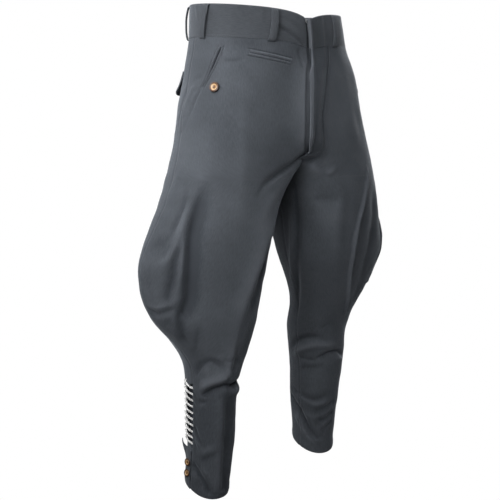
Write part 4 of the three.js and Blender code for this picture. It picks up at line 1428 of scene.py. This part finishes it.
def calf_underlay(side):
    top, opens, open_, closing, closed, foot = UNDERLAY["rings"]
    z = np.linspace(top, foot, 70)[:, None]
    around = np.linspace(UNDERLAY["front"], UNDERLAY["back"], 16)[None, :]
    angle, z = beside(side, section["seam"](z), z, around)
    sunk = UNDERLAY["sinks"] * ease(opens, open_, z) * ease(closed, closing, z) * (
        1 - ease(0.4 * UNDERLAY["flat"], UNDERLAY["flat"], around))
    return laid_piece("calf_underlay_strip_" + WORDS[side], side, angle, z,
                      -CLOTH - UNDERLAY["under"] - THIN - sunk, THIN, pairs(around, z))


def calf_placket(side):
    down, along = even_shares(30, 34)
    around = PLACKET["front"] + (PLACKET["back"] - PLACKET["front"]) * along
    top = PLACKET["top"] + PLACKET["peak"] * along ** 6
    z = top + (HEM - top) * down
    angle, z = beside(side, section["seam"](z), z, around)
    edge = np.minimum(np.minimum(along, 1 - along) * PLACKET["wide"],
                      np.minimum(down, 1 - down) * PLACKET["tall"])
    lift = (PLACKET["above"] + PLACKET["corner"] * ease(0.6, 1, along) * ease(0.5, 0, down)
            + groove(edge - 2.4, 0.3) + edge_roll(edge, 1.4, 0.2, 0.4))
    return laid_piece("button_stand_" + WORDS[side], side, angle, z, lift, THIN,
                      pairs(around, z))


for leg, word in WORDS.items():
    finish_sheet(calf_underlay(leg), POCKET_CLOTH, "pocket_cloth", "calf_underlay_" + word,
                 "back_panel_" + word, (0.031, 0.172))
    finish_sheet(calf_placket(leg), WOOL, "wool_twill", "calf_placket_" + word,
                 "back_panel_" + word, (0.036, 0.078), area=0.0024)

# %% [markdown]
# ## Laces and eyelets
# One cord laces each calf. It comes out of an eyelet in the back panel, runs over the opening
# and down, goes under the front panel's edge and round the underlay to the next eyelet. A tube
# along one smooth curve keeps it a single piece. The eyelets are worked with thread, like small
# buttonholes.


# %% Tubes
def smooth_points(points, per_span):
    """Catmull-Rom points between the given ones."""
    points = np.asarray(points, float)
    padded = np.concatenate([[2 * points[0] - points[1]], points, [2 * points[-1] - points[-2]]])
    t = (np.arange(per_span) / per_span)[:, None]
    spans = []
    for a, b, c, d in zip(padded, padded[1:], padded[2:], padded[3:]):
        spans.append(0.5 * (2 * b + (c - a) * t + (2 * a - 5 * b + 4 * c - d) * t * t
                            + (3 * b - a - 3 * c + d) * t ** 3))
    return np.concatenate([*spans, points[-1:]])


def circle(centre, first, second, radius, count):
    """Rings of points; centre, first and second may be single vectors or lists of them."""
    turn = 2 * math.pi * np.arange(count) / count
    return (centre[..., None, :] + radius * (np.cos(turn)[:, None] * first[..., None, :]
                                             + np.sin(turn)[:, None] * second[..., None, :]))


def tube_mesh(points, radius, sides, closed=False):
    """Points, faces and UVs of a round tube along a line."""
    count = len(points)
    ahead = unit(np.roll(points, -1, axis=0) - np.roll(points, 1, axis=0) if closed
                 else np.gradient(points, axis=0))
    frames = [unit(np.cross(ahead[0], [0.3, 0.5, 0.8]))]
    for way in ahead[1:]:
        frames.append(unit(frames[-1] - way * np.dot(frames[-1], way)))
    frames = np.array(frames)
    ring = circle(points, frames, np.cross(ahead, frames), radius, sides)
    faces = []
    for i in range(count if closed else count - 1):
        k = (i + 1) % count
        faces += [(i * sides + j, k * sides + j, k * sides + m, i * sides + m)
                  for j, m in ((j, (j + 1) % sides) for j in range(sides))]
    if not closed:
        faces.append(tuple(range(sides)))
        faces.append(tuple(range(count * sides - 1, (count - 1) * sides - 1, -1)))
    around = 2 * math.pi * radius * np.arange(sides) / sides
    return (ring.reshape(-1, 3), faces,
            pairs(around, line_lengths(points)[:, None]).reshape(-1, 2))


def joined(name, parts):
    """One object from several (points, faces, uvs)."""
    faces, start = [], 0
    for points, part_faces, _ in parts:
        faces.extend(tuple(v + start for v in face) for face in part_faces)
        start += len(points)
    return new_object(name, np.concatenate([part[0] for part in parts]), faces,
                      np.concatenate([part[2] for part in parts]))


print("a tube of 3 rings has", len(tube_mesh(np.eye(3), 1, 6)[1]), "faces")

# %% Laces: each turn's places, by millimetres down, round and out
LACE_TURN = np.array([(0, 26.8, -8), (0, 26.8, 0.6), (1.2, 24.2, 2.6), (8, 13.5, 1.6),
                      (13.2, 2.8, -3.4), (15, -9.6, -5), (15, -9.6, -11.2), (12.5, 20, -11.2)])


def lace_line(side):
    """The cord's middle line, turn after turn."""
    down, around, out = np.tile(LACE_TURN, (LACING["rows"], 1)).T
    turns = np.repeat(np.arange(LACING["rows"]), len(LACE_TURN))
    z = LACING["top"] - LACING["pitch"] * turns - down
    angle, z = beside(side, section["seam"](z), z, around)
    return raised(side, angle, z, out + relief(side, angle, z))


for leg, word in WORDS.items():
    lace = joined("calf_lace_" + word,
                  [tube_mesh(smooth_points(lace_line(leg), 7), LACING["cord"], 12)])
    finish_piece(lace, LACE, "white_lace", "lace_" + word)
    print(lace.name, len(lace.data.polygons), "faces")

# %% Worked eyelets
EYELET = {"points": 44, "thread": 0.72, "outside": 0.75, "sunk": 0.15, "waves": 11, "wave": 0.16}


def worked_eyelet(centre, normal):
    """A ring of thread round the hole, a little wavy as its stitches are."""
    first = unit(np.cross(normal, [0.2, 0.1, 1.0]))
    ring = circle(centre - normal * EYELET["sunk"], first, np.cross(normal, first),
                  LACING["hole"] + EYELET["outside"], EYELET["points"])
    turn = 2 * math.pi * np.arange(EYELET["points"]) / EYELET["points"]
    ring = ring + EYELET["wave"] * np.cos(EYELET["waves"] * turn)[:, None] * normal
    return tube_mesh(ring, EYELET["thread"], 6, closed=True)


for leg, word in WORDS.items():
    angle, z = eyelet_spots(leg)
    normals = spot_on(leg, angle, z)[1]
    centres = raised(leg, angle, z, relief(leg, angle, z))
    eyelets = joined("worked_eyelets_" + word, list(map(worked_eyelet, centres, normals)))
    finish_piece(eyelets, GREY_THREAD, "wool_twill")
    print(eyelets.name, len(eyelets.data.polygons), "faces")

# %% [markdown]
# ## Buttons
# Turned horn buttons with four holes. The turned profile is swept round, the holes are cut
# with a boolean, and two crossed threads hold each button on. A number that grows from the
# centre to the rim lets one material give the pale face, the dark centre, and the dark rim,
# which is painted shade.

# %% Button shape
BUTTON_PROFILE = ((0.0, 0.24), (0.2, 0.24), (0.38, 0.25), (0.5, 0.29), (0.6, 0.36), (0.7, 0.41),
                  (0.82, 0.43), (0.91, 0.41), (0.97, 0.35), (1.0, 0.26), (0.985, 0.16),
                  (0.93, 0.07), (0.82, 0.02), (0.6, 0.0), (0.3, 0.0), (0.0, 0.0))
BUTTON_TURNS = 48
HOLE_AWAY, HOLE_WIDE = 0.144, 0.095
POCKET_BUTTON, POCKET_BUTTON_ABOVE = 9.6, 0.9
CALF_BUTTON, CALF_BUTTON_ABOVE, CALF_BUTTON_TURNED = 7.2, 0.5, -0.25
BAR = {"thick": 0.26, "aside": 0.28}


def button_mesh(name, radius):
    """A turned button of that radius, in millimetres, standing on z = 0."""
    points, ring = [], []
    for r, h in BUTTON_PROFILE:
        for j in range(BUTTON_TURNS if r else 1):
            turn = 2 * math.pi * j / BUTTON_TURNS
            points.append((r * radius * math.cos(turn), r * radius * math.sin(turn), h * radius))
            ring.append(r)
    rows = [range(1 + i * BUTTON_TURNS, 1 + (i + 1) * BUTTON_TURNS)
            for i in range(len(BUTTON_PROFILE) - 2)]
    faces = []
    for j in range(BUTTON_TURNS):
        k = (j + 1) % BUTTON_TURNS
        faces += [(0, rows[0][j], rows[0][k]), (len(points) - 1, rows[-1][k], rows[-1][j])]
        faces += [(upper[j], lower[j], lower[k], upper[k]) for upper, lower in zip(rows, rows[1:])]
    body = new_object(name, points, faces, numbers={"ring": ring})
    away = HOLE_AWAY * radius
    holes = [tube_mesh(np.array([(x * away, y * away, h) for h in (-radius, 0.15 * radius,
                                                                   radius)]),
                       HOLE_WIDE * radius, 16)
             for x, y in ((1, 1), (1, -1), (-1, 1), (-1, -1))]
    cutter = joined(name + "_holes", holes)
    cut = body.modifiers.new("holes", "BOOLEAN")
    cut.operation, cut.object, cut.solver = "DIFFERENCE", cutter, "EXACT"
    made = bpy.data.meshes.new_from_object(
        body.evaluated_get(bpy.context.evaluated_depsgraph_get()))
    made.name = name
    for used_up in (body, cutter):
        bpy.data.objects.remove(used_up)
    return made


def button_threads(radius):
    """Two crossed bars of thread between the holes, in the button's own frame."""
    away = HOLE_AWAY * radius
    parts = []
    for x, y in ((away, away), (away, -away)):
        for shift in (-BAR["aside"], BAR["aside"]):
            aside = np.array([y, -x]) / math.hypot(x, y) * shift
            line = [(x * end + aside[0], y * end + aside[1], height * radius)
                    for end, height in ((1, 0.05), (1, 0.25), (0, 0.29), (-1, 0.25), (-1, 0.05))]
            parts.append(tube_mesh(smooth_points(line, 4), BAR["thick"], 6))
    return parts


pocket_button = button_mesh("pocket_button_shape", POCKET_BUTTON)
calf_button = button_mesh("calf_button_shape", CALF_BUTTON)
print("button faces:", len(pocket_button.polygons), len(calf_button.polygons))


# %% Buttons in place
def add_button(name, mesh, radius, node, side, angle, z, above, tilt=0.0, turn=0.0):
    """Stand a button and its thread on the cloth, and put their place into their meshes."""
    seat = raised(side, angle, z, float(relief(side, angle, z)) + above)
    turned = Vector(spot_on(side, angle, z)[1]).to_track_quat("Z", "Y").to_matrix().to_4x4()
    leaning = Matrix.Rotation(turn, 4, "Y") @ Matrix.Rotation(tilt, 4, "X")
    button = add_object(name, mesh.copy())
    threads = joined(name + "_thread", button_threads(radius))
    for piece in (button, threads):
        piece.data.transform(Matrix.Translation(Vector(seat) * MM) @ turned @ leaning)
    finish_piece(button, HORN, "horn_button", node)
    finish_piece(threads, TAN_THREAD, "horn_button")


for leg, word in WORDS.items():
    add_button("hip_button_" + word, pocket_button, POCKET_BUTTON, "pocket_button_" + word, leg,
               *POCKET_BUTTON_AT, POCKET_BUTTON_ABOVE)
    for number, (button_z, around), tilt in zip((1, 2), PLACKET["buttons"], (0.06, -0.1)):
        angle_at, z_at = beside(leg, section["seam"](button_z), button_z, around)
        add_button(f"stand_button_{number}_{word}", calf_button, CALF_BUTTON,
                   f"calf_button_{number}_{word}", leg, float(angle_at), float(z_at),
                   PLACKET["above"] + THIN + CALF_BUTTON_ABOVE, tilt,
                   CALF_BUTTON_TURNED * leg)

# %% [markdown]
# ## Waist hook
# A wire hook at the top of the fly reaches over a bar on the other side. Both are bent wire.

# %% Hook and bar
HOOK = {"z": 21.0, "wire": 0.6, "reach": 5.5, "above": 1.9, "half": 3.2, "round": 1.6,
        "corner": 1.4}
HOOK_FROM = FLY["lap"] + SEAM + HOOK["wire"]
HOOK_TO = HOOK_FROM + HOOK["reach"]


def bent_wire(name, node, places, per_span):
    """A wire through places given as millimetres round from the middle and up."""
    around, up = np.array(places, float).T
    angle, z = beside(RIGHT, middle_angle(HOOK["z"]), HOOK["z"], around, up)
    line = raised(RIGHT, angle, z, HOOK["above"] + relief(RIGHT, angle, z))
    wire = joined(name, [tube_mesh(smooth_points(line, per_span), HOOK["wire"], 10)])
    finish_piece(wire, STEEL, "hook_steel", node)
    print(name, len(wire.data.polygons), "faces")


half, bend, corner = HOOK["half"], HOOK["round"], HOOK["corner"]
bent_wire("fly_hook", "waist_hook",
          [(HOOK_FROM - 2, -half), (HOOK_TO - corner, -half), (HOOK_TO, -bend),
           (HOOK_TO, bend), (HOOK_TO - corner, half), (HOOK_FROM - 2, half)], 8)
bent_wire("fly_bar", "waist_bar", [(HOOK_TO - 2, up) for up in (-1.4, -0.7, 0.7, 1.4)], 4)

# %% [markdown]
# ## Stitches
# A row of stitches is many small beads of thread, each sunk half way into the cloth. They are
# real meshes, so that the rows hold up close to, and each row is joined into one object.

# %% Stitch helpers
STITCH = {"long": 2.3, "gap": 1.1, "thick": 0.34, "sides": 5, "sunk": 0.35,
          "tips": 0.3, "fly_sunk": 0.4}
BEAD_RINGS = ((0.12, 0.62, 0.0), (0.5, 1.0, 0.16), (0.88, 0.62, 0.0))


def bead_faces(n):
    """Faces of a spindle with three rings between its two tips."""
    turns = [(j, (j + 1) % n) for j in range(n)]
    return ([(0, 1 + k, 1 + j) for j, k in turns]
            + [(1 + r + j, 1 + r + k, 1 + n + r + k, 1 + n + r + j)
               for r in (0, n) for j, k in turns]
            + [(3 * n + 1, 2 * n + 1 + j, 2 * n + 1 + k) for j, k in turns])


def stitch_row(side, places, above):
    """Spindle-shaped stitches along (angle, z) places, above the cloth by a number or by a
    function of z."""
    angle, z = smooth_route(side, places, 1.5).T
    lift = above(z) if callable(above) else above
    points = raised(side, angle, z, relief(side, angle, z) + lift)
    normals = spot_on(side, angle, z)[1]
    lengths = line_lengths(points)
    share, wide, rise = np.array(BEAD_RINGS).T
    parts = []
    for start in np.arange(STITCH["gap"], lengths[-1] - STITCH["long"],
                           STITCH["long"] + STITCH["gap"]):
        along = np.array([0, *share, 1]) * STITCH["long"] + start
        line, up = (np.stack([np.interp(along, lengths, column) for column in values.T], axis=1)
                    for values in (points, normals))
        up = unit(up)
        aside = unit(np.cross(up, unit(line[-1] - line[0])))
        rings = circle(line[1:4] + up[1:4] * rise[:, None], aside[1:4], up[1:4],
                       (wide * STITCH["thick"])[:, None, None], STITCH["sides"])
        first, last = (line[end] - up[end] * STITCH["tips"] for end in (slice(1), slice(-1, None)))
        bead = np.concatenate([first, rings.reshape(-1, 3), last])
        parts.append((bead, bead_faces(STITCH["sides"]), np.zeros((len(bead), 2))))
    return parts


def pocket_edge(side, offset):
    """Places along one edge of the slant pocket, so many millimetres from its mouth."""
    angle, z = pocket_route(np.linspace(0, 1, 15))
    shift = np.sign(offset) * (abs(offset) + mouth_width(z) / 2)
    return list(zip(*beside(side, angle, z, shift)))


# %% Rows on the fronts and the band
for leg, word in WORDS.items():
    rows = [stitch for away in (-POCKET["stitch"], POCKET["stitch"])
            for stitch in stitch_row(leg, pocket_edge(leg, away), -STITCH["sunk"])]
    if leg == LEFT:
        rows += stitch_row(LEFT, FLY_STITCH,
                           lambda z: fly_lift(z, FLY["stitch"]) - STITCH["fly_sunk"])
    band_rows = []
    for height in BAND_STITCHES:
        first = float(middle_angle(height)) + (6 if leg == RIGHT else 4)
        places = [(angle, height) for angle in np.linspace(first, 358 - first, 60)]
        band_rows += stitch_row(leg, places, BAND_PROUD - STITCH["sunk"])
    for name, beads in (("front_stitches_", rows), ("band_stitches_", band_rows)):
        stitches = joined(name + word, beads)
        finish_piece(stitches, GREY_THREAD, "wool_twill")
        print(stitches.name, len(beads), "stitches")

# %% [markdown]
# ## The large sheets
# The last step prints how many large sheets were made.

# %% Count of large sheets
print("large sheets:", 3 * len(WORDS))
